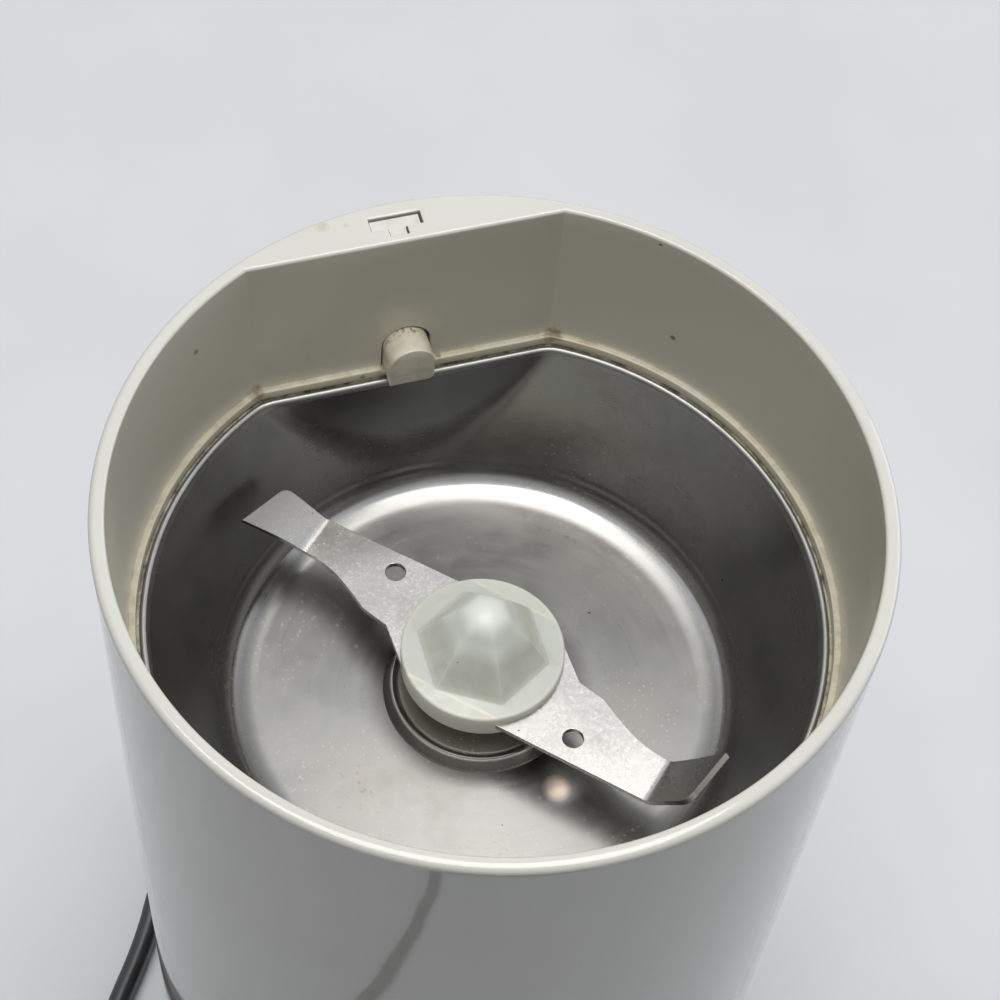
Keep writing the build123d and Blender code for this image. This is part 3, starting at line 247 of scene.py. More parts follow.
def mouldedVinyl():
    # soft PVC moulded in a spark-eroded tool: an even fine grain, 0.3 mm here so that it shows
    made, tree, shader, point = newMaterial("moulded black PVC", IOR=1.53)
    grain = addNode(tree, "TexVoronoi", {"Vector": point, "Scale": 3.3}).outputs["Distance"]
    tone = shades(tree, grain, (0.0, "#191A1B"), (0.8, "#262729"))
    wear = scaled(tree, grain, start=0.42, end=0.55)
    feed(tree, shader, Base_Color=tone, Roughness=wear, Normal=relief(tree, grain, 0.2, 0.06))
    return made


def nickelPlate():
    # nickel on turned brass: a warm bright metal with fine rings from the lathe, 0.25 mm apart here
    made, tree, shader, point = newMaterial("nickel plated brass", Metallic=1.0)
    rings = addNode(
        tree, "TexWave", {"Vector": point, "Scale": 0.64, "Distortion": 0.6}, bands_direction="X"
    ).outputs[0]
    tone = shades(tree, rings, (0.0, "#B9B3A8"), (1.0, "#C6C0B6"))
    feed(tree, shader, Base_Color=tone, Roughness=scaled(tree, rings, start=0.16, end=0.26))
    return made


def strapWeave():
    # woven nylon strap with hook pile: matt black with a 0.6 mm weave
    made, tree, shader, point = newMaterial("woven nylon strap", Roughness=0.85, Sheen_Weight=0.4)
    weave = addNode(
        tree, "TexVoronoi", {"Vector": point, "Scale": 1.7}, distance="CHEBYCHEV"
    ).outputs["Distance"]
    tone = shades(tree, weave, (0.1, "#2B2B2E"), (0.7, "#121214"))
    feed(tree, shader, Base_Color=tone, Normal=relief(tree, weave, 0.6, 0.15, invert=True))
    return made


cordVinyl, plugVinyl, pinNickel = flexVinyl(), mouldedVinyl(), nickelPlate()

# cord: flat twin flex standing on its edge, out of the boot, round the left side and into a coil
cord = {
    "width": 5.3,
    "thickness": 3.3,
    "length": 1.02,  # metres
    "laid": (
        (-3.73, 60.01, 11.0),
        (-11.6, 61.4, 11.0),
        (-20.4, 59.5, 9.6),
        (-28.3, 54.2, 7.2),
        (-34.8, 45.3, 4.8),
        (-40.2, 34.6, 3.2),
        (-44.9, 24.9, 2.65),
        (-52.8, 13.4, 2.65),
        (-58.3, 1.5, 2.65),
        (-60.6, -13.0, 2.65),
        (-61.0, -33.0, 2.65),
        (-60.2, -52.0, 2.65),
        (-57.6, -70.0, 2.65),
        (-52.8, -88.0, 2.65),
        (-48.6, -107.0, 2.65),
        (-42.9, -125.0, 2.65),
        (-38.0, -141.0, 2.65),
        (-35.9, -156.3, 2.65),
    ),
    "tail": (
        (10.6, -172.9, 8.3),
        (19.0, -160.4, 11.2),
        (16.2, -146.2, 15.6),
        (4.8, -137.3, 17.45),
        (-9.6, -137.3, 17.45),
    ),
}
# the coil: three lanes side by side on the table, then a ramp up to a second layer that moves outwards
coil = {
    "middle": (-6.0, -151.0),
    "lanes": (30.3, 27.0, 23.7),
    "upperLanes": (23.7, 27.4),
    "entry": 190.0,  # degrees; each lane changes just before this angle
    "change": 46.0,
    "ramp": (60.0, 130.0),
    "upperChange": (340.0, 400.0),
    "leave": 307.0,
    "stepsPerTurn": 18,
}


def coilPoint(angle):
    # a point of the coil's line; angle runs on from the entry through every turn
    turns = (angle - coil["entry"]) / 360.0
    lanes = coil["lanes"]
    lane = min(int(turns), len(lanes) - 1)
    radius = lanes[lane]
    left = (1 - (turns - lane)) * 360.0
    if lane < len(lanes) - 1:
        radius += (lanes[lane + 1] - lanes[lane]) * easeIn(1 - left / coil["change"])
    base = 360.0 * len(lanes)
    rise = easeIn((angle - base - coil["ramp"][0]) / (coil["ramp"][1] - coil["ramp"][0]))
    start, end = coil["upperChange"]
    outward = easeIn((angle - base - start) / (end - start))
    radius += (coil["upperLanes"][1] - coil["upperLanes"][0]) * outward
    radius /= cos(pi / coil["stepsPerTurn"])  # the spline runs inside its control points
    turn = radians(angle)
    cx, cy = coil["middle"]
    return (cx + radius * cos(turn), cy + radius * sin(turn), cord["width"] * (0.5 + rise))


def cordRoute():
    points = list(cord["laid"])
    step = 360.0 / coil["stepsPerTurn"]
    last = 360.0 * (len(coil["lanes"]) + 1) + coil["leave"]
    angle = coil["entry"] + step
    while angle < last - step / 2:
        points.append(coilPoint(angle))
        angle += step
    return points + list(cord["tail"])


def splineLine(points, stepsPerPoint):
    # the line of a smooth open NURBS curve with these control points, in mm
    data = bpy.data.curves.new("route", "CURVE")
    data.dimensions = "3D"
    data.resolution_u = stepsPerPoint
    spline = data.splines.new("NURBS")
    spline.points.add(len(points) - 1)
    for held, point in zip(spline.points, points):
        held.co = (*(c * mm for c in point), 1.0)
    spline.order_u = 3
    spline.use_endpoint_u = True
    route = bpy.data.objects.new("route", data)
    mesh = bpy.data.meshes.new_from_object(route)
    line = [v.co / mm for v in mesh.vertices]
    bpy.data.objects.remove(route)
    bpy.data.meshes.remove(mesh)
    return line


def runAlong(line, section):
    # rings of section(i), a list of (across, up) points, square to the line
    rings = []
    for i, point in enumerate(line):
        ahead = (line[min(i + 1, len(line) - 1)] - line[max(i - 1, 0)]).normalized()
        across = ahead.cross(Vector((0, 0, 1))).normalized()
        up = across.cross(ahead)
        rings.append([point + across * a + up * b for a, b in section(i)])
    return rings


def flexSection(steps=9):
    # two wires side by side in one sheath: straight flanks with half-round edges
    r, centre = cord["thickness"] / 2, (cord["width"] - cord["thickness"]) / 2
    points = []
    for side in (1, -1):
        for k in range(steps):
            t = pi * (k + 0.5) / steps
            points.append((side * r * cos(t), side * (centre + r * sin(t))))
        points.append((-side * (r - 0.12), 0.0))  # the shallow waist between the wires
    return points


def makeCord():
    line = splineLine(cordRoute(), 6)
    section = flexSection()
    mesh = skin("flat_cord", runAlong(line, lambda i: section), capped=True, sharpAngle=50)
    made = put("flat_cord", mesh, cordVinyl, "stand", ["cord", "cord_coil", "cord_tail"])
    return made, line


# boot: the ribbed strain relief, round at the wall and narrowing to the cord
boot = {
    "exitAngle": 80.0,
    "height": 11.0,
    "wallRadius": 43.86,
    "bend": 14.6,
    "turn": 88.0,
    "neck": 4.25,
    "flange": 5.6,
    "insideRadius": 40.9,
    "foot": 4.6,
    "tip": (2.25, 3.2),
    "ribs": 8,
    "ribDepth": 0.45,
    "steps": 150,
}


def bootRings():
    heading = radians(boot["exitAngle"])
    outward = Vector((cos(heading), sin(heading), 0))
    left = Vector((-sin(heading), cos(heading), 0))
    start = outward * boot["wallRadius"] + Vector((0, 0, boot["height"]))
    middle = start + left * boot["bend"]
    long = boot["bend"] * radians(boot["turn"])
    back = boot["wallRadius"] - boot["insideRadius"]
    stations = [
        (-back - 1.6, 0.2), (-back - 1.6, boot["flange"]), (-back, boot["flange"]), (-back, boot["neck"])
    ]
    rings = []
    for s, r in stations:
        centre = start + outward * s
        rings.append([centre + left * r * cos(t) + Vector((0, 0, r * sin(t))) for t in turnsRound(40)])
    for k in range(boot["steps"] + 1):
        share = k / boot["steps"]
        s = share * long
        angle = s / boot["bend"]
        ahead = outward * cos(angle) + left * sin(angle)
        side = left * cos(angle) - outward * sin(angle)
        centre = middle - side * boot["bend"]
        taper = easeIn(share * 1.05)
        wide = boot["foot"] + (boot["tip"][0] - boot["foot"]) * taper
        tall = boot["foot"] + (boot["tip"][1] - boot["foot"]) * taper
        wave = (share * (boot["ribs"] + 0.5) - 0.5) % 1.0
        groove = boot["ribDepth"] if 0.08 < share < 0.97 and wave < 0.42 else 0.0
        if share < 0.05:
            wide = tall = boot["foot"] + 0.5
        if share > 0.985:
            groove = (share - 0.985) / 0.015 * 0.4
        rings.append(
            [
                centre + side * (wide - groove) * cos(t) + Vector((0, 0, (tall - groove) * sin(t)))
                for t in turnsRound(40)
            ]
        )
    return rings


def turnsRound(steps):
    return [2 * pi * k / steps for k in range(steps)]


# plug: flat two-pin mains plug, moulded on the cord, lying on the coil
plug = {
    "nose": (-9.6, -137.3, 17.45),
    "noseLength": 9.0,
    "length": 26.0,
    "straight": 13.0,
    "width": 35.0,
    "waist": 18.0,
    "thickness": 13.6,
    "spacing": 18.6,
    "pin": 19.0,
    "sleeve": 10.0,
    "sleeveRadius": 1.9,
    "pinRadius": 2.0,
}


def plugRings():
    x0, cy, cz = plug["nose"]
    body = x0 - plug["noseLength"]
    face = body - plug["length"]
    rings = []

    def ring(x, wide, tall, power):
        points = []
        for t in turnsRound(72):
            c, s = cos(t), sin(t)
            u = abs(c) ** (2 / power) * (1 if c > 0 else -1)
            v = abs(s) ** (2 / power) * (1 if s > 0 else -1)
            points.append((x, cy + wide * u, cz + tall * v))
        rings.append(points)

    half, tall = plug["width"] / 2, plug["thickness"] / 2
    for inset, dx in ((6.0, 0.0), (1.3, 0.0), (0.6, 0.15), (0.15, 0.6), (0.0, 1.3)):
        ring(face + dx, half - inset, tall - inset, 5.0)
    for k in range(1, 6):
        ring(face + 1.3 + (plug["straight"] - 1.3) * k / 6, half, tall, 5.0)
    taper = plug["length"] - plug["straight"]
    for k in range(49):
        share = k / 48
        x = face + plug["straight"] + taper * share
        wide = half + (plug["waist"] / 2 - half) * easeIn(share * 0.5) * 2
        grip = 0.35 * max(0.0, sin(2 * pi * share * 4)) ** 2 if 0.12 < share < 0.9 else 0.0
        high = tall - 0.9 * easeIn(share)
        ring(x, max(wide, plug["waist"] / 2) - grip, high - grip, 5.0 - 1.6 * share)
    for k in range(1, 25):
        share = k / 24
        shape = easeIn(share * 2.2)
        wide = plug["waist"] / 2 + (4.2 - plug["waist"] / 2) * shape
        high = tall - 0.9 + (4.2 - tall + 0.9) * shape
        wave = 0.3 if share > 0.45 and (share * 9) % 1 < 0.4 else 0.0
        slim = 0.9 * max(0.0, share - 0.45) / 0.55
        ring(
            body + plug["noseLength"] * share,
            wide - slim - wave,
            high - slim * 0.6 - wave,
            3.4 - 1.2 * shape,
        )
    return rings


def makePlug():
    x0, cy, cz = plug["nose"]
    face = x0 - plug["noseLength"] - plug["length"]
    body = put(
        "plug_moulding",
        skin("plug_moulding", plugRings(), capped=True),
        plugVinyl,
        "stand",
        ["plug_body"],
    )
    parts = [body]
    for side, name in ((-1, "front"), (1, "back")):
        place = Matrix.Translation(
            (face * mm, (cy + side * plug["spacing"] / 2) * mm, cz * mm)
        ) @ Matrix.Rotation(-pi / 2, 4, "Y")
        r, long = plug["sleeveRadius"], plug["sleeve"]
        sleeve = [(1.5, -1.0), (r, -1.0), (r, long - 0.15), (r - 0.15, long), (1.5, long)]
        made = put(
            "pin_sleeve_" + name,
            turned("pin_sleeve_" + name, sleeve, 40, place),
            plugVinyl,
            "stand",
        )
        parts.append(made)
        r, tip = plug["pinRadius"], plug["pin"]
        pin = [(0.0, long - 0.5), (r - 0.25, long - 0.5), (r - 0.25, long + 0.05), (r, long + 0.2)]
        pin += [(r, tip - 1.4)] + [
            (0.6 + (r - 0.6) * cos(t), tip - 1.4 + 1.4 * sin(t)) for t in (0.4, 0.8, 1.2, pi / 2)
        ]
        pin += [(0.0, tip)]
        stands = ["plug_pins"] if side == 1 else ()
        made = put(
            "contact_pin_" + name,
            turned("contact_pin_" + name, pin, 48, place),
            pinNickel,
            "stand",
            stands,
        )
        parts.append(made)
    return parts


# tie: a short strap round the coil's strands
tie = {
    "angle": 236.0,
    "width": 6.0,
    "thickness": 0.5,
    # corners of its path round the strands: distance from the coil's middle, and height
    "corners": ((21.75, 0.3), (32.15, 0.3), (32.3, 5.6), (29.6, 10.85), (21.75, 10.85)),
    "cornerRound": 1.2,
    "hem": 0.8,
    "crown": 0.1,
}


def tieRings():
    # its path round the strands, then its width along the coil
    corners, path = tie["corners"], []
    for k, corner in enumerate(corners):
        before, after = Vector(corners[k - 1]), Vector(corners[(k + 1) % len(corners)])
        here = Vector(corner)
        a = here + (before - here).normalized() * tie["cornerRound"]
        b = here + (after - here).normalized() * tie["cornerRound"]
        path += [a.lerp(here, t).lerp(here.lerp(b, t), t) for t in (0.0, 0.25, 0.5, 0.75, 1.0)]
    centre = sum(path, Vector((0, 0))) / len(path)
    angle = radians(tie["angle"])
    out = Vector((cos(angle), sin(angle), 0))
    along = Vector((-sin(angle), cos(angle), 0))
    middle = Vector((*coil["middle"], 0))
    half, thick = tie["width"] / 2, tie["thickness"] / 2
    inner, crown = half - tie["hem"], thick + tie["crown"]
    section = (
        (-half, -thick), (-half, thick), (-inner, crown), (inner, crown), (half, thick), (half, -thick)
    )
    rings = []
    for i, spot in enumerate(path):
        ahead = (path[(i + 1) % len(path)] - path[i - 1]).normalized()
        normal = Vector((ahead.y, -ahead.x))
        if (spot - centre).dot(normal) < 0:
            normal = -normal
        ring = []
        for w, n in section:
            p = spot + normal * n
            ring.append(middle + out * p.x + along * w + Vector((0, 0, max(p.y, 0.03))))
        rings.append(ring)
    return rings


flatCord, cordLine = makeCord()
bootPiece = put(
    "cord_boot",
    skin("cord_boot", bootRings(), capped=True, sharpAngle=35),
    plugVinyl,
    "stand",
    ["strain_relief"],
)
plugParts = makePlug()
tiePiece = put(
    "coil_tie",
    skin("coil_tie", tieRings(), closed=True, sharpAngle=40),
    strapWeave(),
    "stand",
)
print("cord, boot, plug and tie made")

# materials of the housing, the bowl and what turns in it
def between(tree, value, low, high, soft=0.1):
    # 1 where a value lies between two limits, falling to 0 over a soft edge
    up = scaled(tree, value, low - soft, low)
    down = scaled(tree, value, high + soft, high)
    return calc(tree, "MULTIPLY", up, down)


def times(tree, first, second):
    return calc(tree, "MULTIPLY", first, second)


def tinted(tree, tone, share, hexText):
    return addNode(tree, "MixRGB", {"Fac": share, "Color1": tone, "Color2": colour(hexText)}).outputs[0]


def fromAxis(tree, point):
    # the three parts of a point, and its distance from the upright axis
    split = addNode(tree, "SeparateXYZ", {0: point}).outputs
    flat = addNode(tree, "CombineXYZ", {"X": split[0], "Y": split[1]}).outputs[0]
    return split, addNode(tree, "VectorMath", {0: flat}, operation="LENGTH").outputs["Value"]


def specks(tree, point, tone, spacing, size, hexText):
    # loose grains, each of its own size, about one to a cube of the spacing
    cells = addNode(tree, "TexVoronoi", {"Vector": point, "Scale": 1 / spacing}).outputs["Distance"]
    lump = noise(tree, point, 1 / size, 2.0)
    far = size / spacing
    limit = scaled(tree, lump, 0.4, 0.75, 0.0, far)
    grain = calc(tree, "LESS_THAN", cells, limit)
    return tinted(tree, tone, grain, hexText)


def shellPlastic():
    # ABS, injection moulded in a polished tool: an even gloss, yellowed with age on the inside, with oil on
    # the ledge, brown coffee dust in the corners, and painted shade in the gap beside the bowl and in the
    # slot
    made, tree, shader, point = newMaterial("cream ABS, polished", IOR=1.52)
    split, reach = fromAxis(tree, point)
    height = split[2]
    cloud = noise(tree, point, 0.045, 3.0)
    tone = shades(tree, cloud, (0.35, "#D9D9D3"), (0.7, "#D6D5CE"))
    inside = between(tree, reach, -1.0, 43.6, 0.05)
    mouth = times(tree, inside, between(tree, height, 100.0, 154.5, 0.3))
    tone = tinted(tree, tone, times(tree, mouth, 0.8), "#D3CFBE")
    dust = noise(tree, point, 0.5, 6.0, 0.7)
    smear = noise(tree, point, 0.2, 4.0)
    # the ledge and lip, where oil lies
    oil = scaled(tree, smear, 0.35, 0.65, 0.1, 0.55)
    oily = times(tree, times(tree, oil, mouth), between(tree, height, 130.9, 132.65, 0.1))
    tone = tinted(tree, tone, oily, "#CFC49C")
    # dust in the corner above the ledge, 0.2 mm high
    caked = scaled(tree, dust, 0.45, 0.68, end=0.5)
    corner = times(tree, times(tree, caked, mouth), between(tree, height, 132.63, 132.72, 0.14))
    tone = tinted(tree, tone, corner, "#86683F")
    # mottled grime and painted shade in the gap beside the bowl's edge
    grime_and_gap_shade = scaled(tree, dust, 0.4, 0.62, 0.1, 0.85)
    gap = times(tree, times(tree, grime_and_gap_shade, mouth), between(tree, height, 120.0, 131.33, 0.12))
    tone = tinted(tree, tone, gap, "#2E2519")
    # painted shade on the walls of the slot in the plate
    slot_wall_shade = between(tree, height, 150.0, 154.75, 0.15)
    slot_wall_shade = times(tree, slot_wall_shade, between(tree, split[1], 39.45, 42.8, 0.02))
    slot_wall_shade = times(tree, slot_wall_shade, between(tree, split[0], -3.9, 2.7, 0.02))
    tone = tinted(tree, tone, times(tree, slot_wall_shade, 0.6), "#7A705E")
    # stains and crumbs: place, size in mm, strength, colour
    for x, y, z, size, strength, hexText in housing["marks"]:
        ruffle = noise(tree, point, 1.2 / size, 5.0)
        away = distance(tree, point, (x, y, z))
        ragged = calc(tree, "MULTIPLY_ADD", ruffle, 1.6 * size, away)
        mark = scaled(tree, ragged, 1.9 * size, 1.2 * size, end=strength)
        tone = tinted(tree, tone, mark, hexText)
    tone = specks(tree, point, tone, 7.0, 0.3, "#6A5A48")
    # handling scuffs on the outside: short grey dashes about 6 mm long
    stretched = addNode(
        tree, "Mapping", {"Vector": point, "Scale": (0.5, 0.5, 0.12), "Rotation": (0.3, 0.5, 0.0)}
    )
    scuff = noise(tree, stretched.outputs[0], 1.1, 6.0, 0.65)
    dash = scaled(tree, scuff, 0.72, 0.77, end=0.4)
    tone = tinted(tree, tone, dash, "#98917F")
    haze = scaled(tree, cloud, start=0.03, end=0.07)
    dull = scaled(tree, dash, end=0.5)
    haze = calc(tree, "ADD", haze, dull)
    greasy = calc(tree, "MULTIPLY_ADD", mouth, 0.16, haze)
    ripple = noise(tree, point, 0.09, 1.0)
    feed(tree, shader, Base_Color=tone, Roughness=greasy, Normal=relief(tree, ripple, 0.3, 0.14))
    return made


def buttonPlastic():
    # the same ABS, rubbed satin by the lid's cam and stained where it slides
    made, tree, shader, point = newMaterial("cream ABS, satin", IOR=1.52)
    rub = noise(tree, point, 0.5, 4.0)
    tone = shades(tree, rub, (0.4, "#DDD8C8"), (0.75, "#C9C1AB"))
    depth = addNode(tree, "SeparateXYZ", {0: point}).outputs[1]
    dust = noise(tree, point, 2.0, 5.0, 0.7)
    dirt = scaled(tree, dust, 0.5, 0.62, end=0.7)
    tone = tinted(tree, tone, times(tree, dirt, between(tree, depth, 37.2, 41.0, 0.5)), "#5D4A30")
    wear = scaled(tree, rub, start=0.3, end=0.45)
    feed(tree, shader, Base_Color=tone, Roughness=wear, Normal=relief(tree, dust, 0.15, 0.05))
    return made


def acetal(name="pale grey acetal"):
    # POM, moulded: a waxy, slightly greyed white that wears shiny where it slides
    made, tree, shader, point = newMaterial(name, IOR=1.48)
    cloud = noise(tree, point, 0.4, 4.0)
    tone = shades(tree, cloud, (0.3, "#DCDCD8"), (0.75, "#CFCDC5"))
    feed(tree, shader, Base_Color=tone, Roughness=scaled(tree, cloud, start=0.3, end=0.5))
    return made


def drawnSteel(name="drawn stainless steel", dusty=False):
    # 18/8 stainless sheet, deep drawn and spun bright: faint rings from the polishing, a duller hem, and on
    # the floor dried pale spots, brown stains and fine pits. The real rings are 0.05 mm apart, 0.8 mm here so
    # that they show
    made, tree, shader, point = newMaterial(name, Metallic=0.5 if dusty else 1.0)
    split, reach = fromAxis(tree, point)
    height = split[2]
    along = calc(tree, "ADD", reach, height)
    wander = noise(tree, point, 0.05, 2.0)
    along = calc(tree, "MULTIPLY_ADD", wander, 3.0, along)
    rings = addNode(
        tree, "TexNoise", {"W": along, "Scale": 1.3, "Detail": 2.0}, noise_dimensions="1D"
    ).outputs[0]
    cloud = noise(tree, point, 0.12, 6.0, 0.6)
    tone = shades(tree, cloud, (0.3, "#91908E"), (0.55, "#9C9B99"), (0.8, "#8A8782"))
    # pale dried spots, 0.4 to 1.5 mm, in drifts
    cells = addNode(tree, "TexVoronoi", {"Vector": point, "Scale": 1.3}).outputs["Distance"]
    edge = noise(tree, point, 1.6, 3.0)
    limit = scaled(tree, edge, 0.35, 0.75, end=0.42)
    dried = calc(tree, "LESS_THAN", cells, limit)
    drift = noise(tree, point, 0.06, 2.0)
    drift = scaled(tree, drift, 0.48, 0.66, end=0.3)
    for x, y, size in bowl["drifts"]:
        away = distance(tree, point, (x, y, bowl["floorZ"]))
        patch = scaled(tree, away, size, 0.3 * size, end=0.7)
        drift = calc(tree, "MAXIMUM", drift, patch)
    dried = times(tree, dried, drift)
    # the floor is darker than the wall
    floor = between(tree, height, 100.0, bowl["floorZ"] + 0.4, 0.3)
    tone = tinted(tree, tone, times(tree, floor, 0.66), "#71716F")
    tone = tinted(tree, tone, dried, "#B9B2A9")
    # a brown tinge in the drifts, then a painted shadow of the hub on and round the raised middle
    tea = scaled(tree, edge, 0.45, 0.7, end=0.35)
    tone = tinted(tree, tone, times(tree, tea, times(tree, drift, 1.6)), "#8C7A66")
    painted_hub_shadow = times(
        tree, between(tree, reach, 5.0, 12.1, 2.8), between(tree, height, 100.0, bowl["lipZ"] - 0.6, 0.2)
    )
    tone = tinted(tree, tone, times(tree, painted_hub_shadow, 0.62), "#45423F")
    tone = specks(tree, point, tone, 5.5, 0.28, "#2A231C")
    # one dried drop
    away = distance(tree, point, (*bowl["drop"], bowl["floorZ"]))
    tone = tinted(tree, tone, times(tree, between(tree, away, -1.0, 1.1, 0.9), 0.7), "#D2C0AF")
    if dusty:
        tone = tinted(tree, tone, 0.6, "#A79F92")
    # the floor is duller than the wall, and the hem duller still
    flat = bowl["floorZ"] + 0.25
    base = scaled(tree, height, flat, flat + 0.5, 0.28, 0.2)
    hem = scaled(tree, height, 130.6, 131.1, end=0.16)
    matt = scaled(tree, cloud, 0.4, 0.75, end=0.09)
    rough = calc(tree, "ADD", base, hem)
    rough = calc(tree, "ADD", rough, matt)
    lined = scaled(tree, rings, 0.3, 0.7, -0.01, 0.02)
    rough = calc(tree, "ADD", rough, lined)
    rough = calc(tree, "MULTIPLY_ADD", dried, 0.5, rough)
    grit = noise(tree, point, 3.0, 4.0, 0.75)
    pits = relief(tree, grit, 0.05, 0.03)
    feed(tree, shader, Base_Color=tone, Roughness=rough, Normal=pits)
    return made


def sealFelt():
    # oiled felt: grey brown, with fibres 0.4 mm long
    made, tree, shader, point = newMaterial("oiled felt", Roughness=0.8, Sheen_Weight=0.3)
    fibre = noise(tree, point, 2.5, 5.0, Distortion=2.0)
    tone = shades(tree, fibre, (0.3, "#8C8474"), (0.7, "#B5AD9B"))
    feed(tree, shader, Base_Color=tone, Normal=relief(tree, fibre, 0.5, 0.1))
    return made


def groundSteel():
    # hardened stainless strip, ground lengthwise and blunted by use: bright satin with fine scratches along
    # the blade, drawn 0.25 mm apart here, and pale scour marks
    made, tree, shader, point = newMaterial("ground stainless strip", Metallic=1.0)
    lined = addNode(
        tree, "Mapping", {"Vector": point, "Rotation": (0.0, 0.0, -radians(blade["direction"]))}
    ).outputs[0]
    fine = addNode(tree, "VectorMath", {0: lined, 1: (0.18, 3.8, 3.8)}, operation="MULTIPLY").outputs[0]
    scratch = noise(tree, fine, 1.0, 5.0, 0.7)
    speckle = noise(tree, point, 2.0, 7.0, 0.75)
    cloud = noise(tree, point, 0.16, 4.0)
    tone = shades(tree, speckle, (0.34, "#A8A5A2"), (0.52, "#AFACA9"), (0.7, "#BBB9B6"))
    tone = specks(tree, point, tone, 3.5, 0.22, "#3F362E")
    # painted shade: the bent tips are painted greyer beyond the bend
    reach = fromAxis(tree, point)[1]
    tip = scaled(tree, reach, 28.5, 33.0, end=0.75)
    tone = tinted(tree, tone, tip, "#86837F")
    rough = scaled(tree, cloud, 0.3, 0.7, 0.2, 0.3)
    worn = scaled(tree, speckle, 0.5, 0.75, end=0.07)
    rough = calc(tree, "ADD", rough, worn)
    lines = relief(tree, scratch, 0.07, 0.03)
    feed(
        tree,
        shader,
        Base_Color=tone,
        Roughness=rough,
        Normal=relief(tree, speckle, 0.05, 0.03, {"Normal": lines}),
    )
    return made


def naturalNylon():
    # unfilled nylon, moulded round the blade: light enters it, so its ribs look soft and the blade's edges
    # show through as pale lines, with a yellow tinge in the thick parts
    made, tree, shader, point = newMaterial(
        "natural nylon", IOR=1.53, Subsurface_Weight=0.8, Subsurface_Scale=1.4 * mm
    )
    shader.inputs["Subsurface Radius"].default_value = (1.0, 0.95, 0.85)
    split, reach = fromAxis(tree, point)
    cloud = noise(tree, point, 0.3, 4.0, Distortion=0.6)
    tone = shades(tree, cloud, (0.3, "#D1D4CD"), (0.6, "#C7C9C0"), (0.8, "#C5C2B0"))
    # painted light: the thick crown is painted paler, as where light falls on its top, so the walls of the
    # nut shape look greyer
    crown = scaled(tree, split[2], 126.0, 128.6)
    tone = tinted(tree, tone, crown, "#DDE2DE")
    # the disc's side glows
    side = times(tree, between(tree, reach, 9.7, 20.0, 0.3), between(tree, split[2], 100.0, 122.4, 0.3))
    tone = tinted(tree, tone, side, "#DCDDD4")
    # the blade's outline, seen through the disc
    across = addNode(
        tree, "VectorMath", {0: point, 1: (0.703, 0.711, 0.0)}, operation="DOT_PRODUCT"
    ).outputs["Value"]
    off = calc(tree, "ABSOLUTE", across)
    onDisc = between(tree, split[2], 100.0, 122.7, 0.2)
    tone = tinted(
        tree, tone, times(tree, times(tree, between(tree, off, -1.0, 7.7, 0.3), onDisc), 0.5), "#BFC3C0"
    )
    faint = scaled(tree, cloud, 0.35, 0.6, 0.2, 0.7)
    outline = times(tree, between(tree, off, 7.74, 7.96, 0.16), onDisc)
    tone = tinted(tree, tone, times(tree, outline, faint), "#E2E0CE")
    tone = specks(tree, point, tone, 2.8, 0.2, "#3A332B")
    wear = scaled(tree, cloud, start=0.24, end=0.42)
    scratch = noise(tree, point, 1.4, 6.0)
    feed(tree, shader, Base_Color=tone, Roughness=wear, Normal=relief(tree, scratch, 0.25, 0.08))
    return made


# housing: one moulding, round outside, D-shaped in the mouth, with a ledge for the lid
housing = {
    "height": 155.0,
    "rimRadius": 45.0,
    "footRadius": 44.0,
    "footZ": 2.5,
    "inside": 41.7,
    "outerRound": 0.8,
    "innerRound": 0.45,
    "mouthRadius": 43.15,
    "ledgeRadius": 42.2,
    "chordY": 38.4,
    "chordLowY": 37.6,
    "ledgeZ": 132.6,
    "ledgeWidth": 0.85,
    "shelfZ": 130.9,
    "shelfUnderZ": 129.3,
    "shelfWidth": 0.55,
    "corner": 0.4,
    "arcSteps": 320,
    "flatSteps": 60,
    "cornerSteps": 5,
    "channel": (39.4, 42.75, 112.0),  # its flat side's y, its round side's radius and its foot
    "plate": 1.8,
    "slot": {"x": -0.6, "stepY": 40.75, "width": 6.45, "depth": 1.9, "stemWidth": 2.35, "stemDepth": 1.25},
    "cordHole": 4.32,
    # place, size, strength and colour of each stain or crumb
    "marks": (
        (-9.4, 42.8, 155.0, 0.9, 0.4, "#B5A57C"),
        (-6.6, 42.4, 155.0, 0.4, 0.3, "#B5A57C"),
        (32.0, 28.0, 139.3, 0.5, 0.8, "#6A5335"),
        (-27.1, 33.2, 148.2, 0.5, 0.7, "#7A6340"),
        (-5.7, 36.7, 131.9, 0.4, 0.6, "#5E4A30"),
        (19.6, 37.0, 132.6, 1.2, 0.75, "#7A5E38"),
        (4.3, 37.2, 132.6, 0.5, 0.7, "#6A4F30"),
        (-19.4, 37.0, 132.6, 1.1, 0.7, "#7A5E38"),
        (-7.2, 40.2, 152.6, 0.9, 0.8, "#5B4730"),
    ),
}


def dOutline(radius, flatY, corner):
    # a circle cut by a straight side at flatY with rounded corners, anticlockwise from the left corner
    x = sqrt((radius - corner) ** 2 - (flatY - corner) ** 2)
    a = atan2(flatY - corner, x)
    arcSteps, flatSteps, cornerSteps = housing["arcSteps"], housing["flatSteps"], housing["cornerSteps"]
    points = []
    for k in range(arcSteps + 1):
        t = pi - a + (pi + 2 * a) * k / arcSteps
        points.append((radius * cos(t), radius * sin(t)))
    for k in range(1, cornerSteps):
        t = a + (pi / 2 - a) * k / cornerSteps
        points.append((x + corner * cos(t), flatY - corner + corner * sin(t)))
    for k in range(flatSteps + 1):
        points.append((x - 2 * x * k / flatSteps, flatY))
    for k in range(1, cornerSteps):
        t = pi / 2 + (pi / 2 - a) * k / cornerSteps
        points.append((-x + corner * cos(t), flatY - corner + corner * sin(t)))
    return points


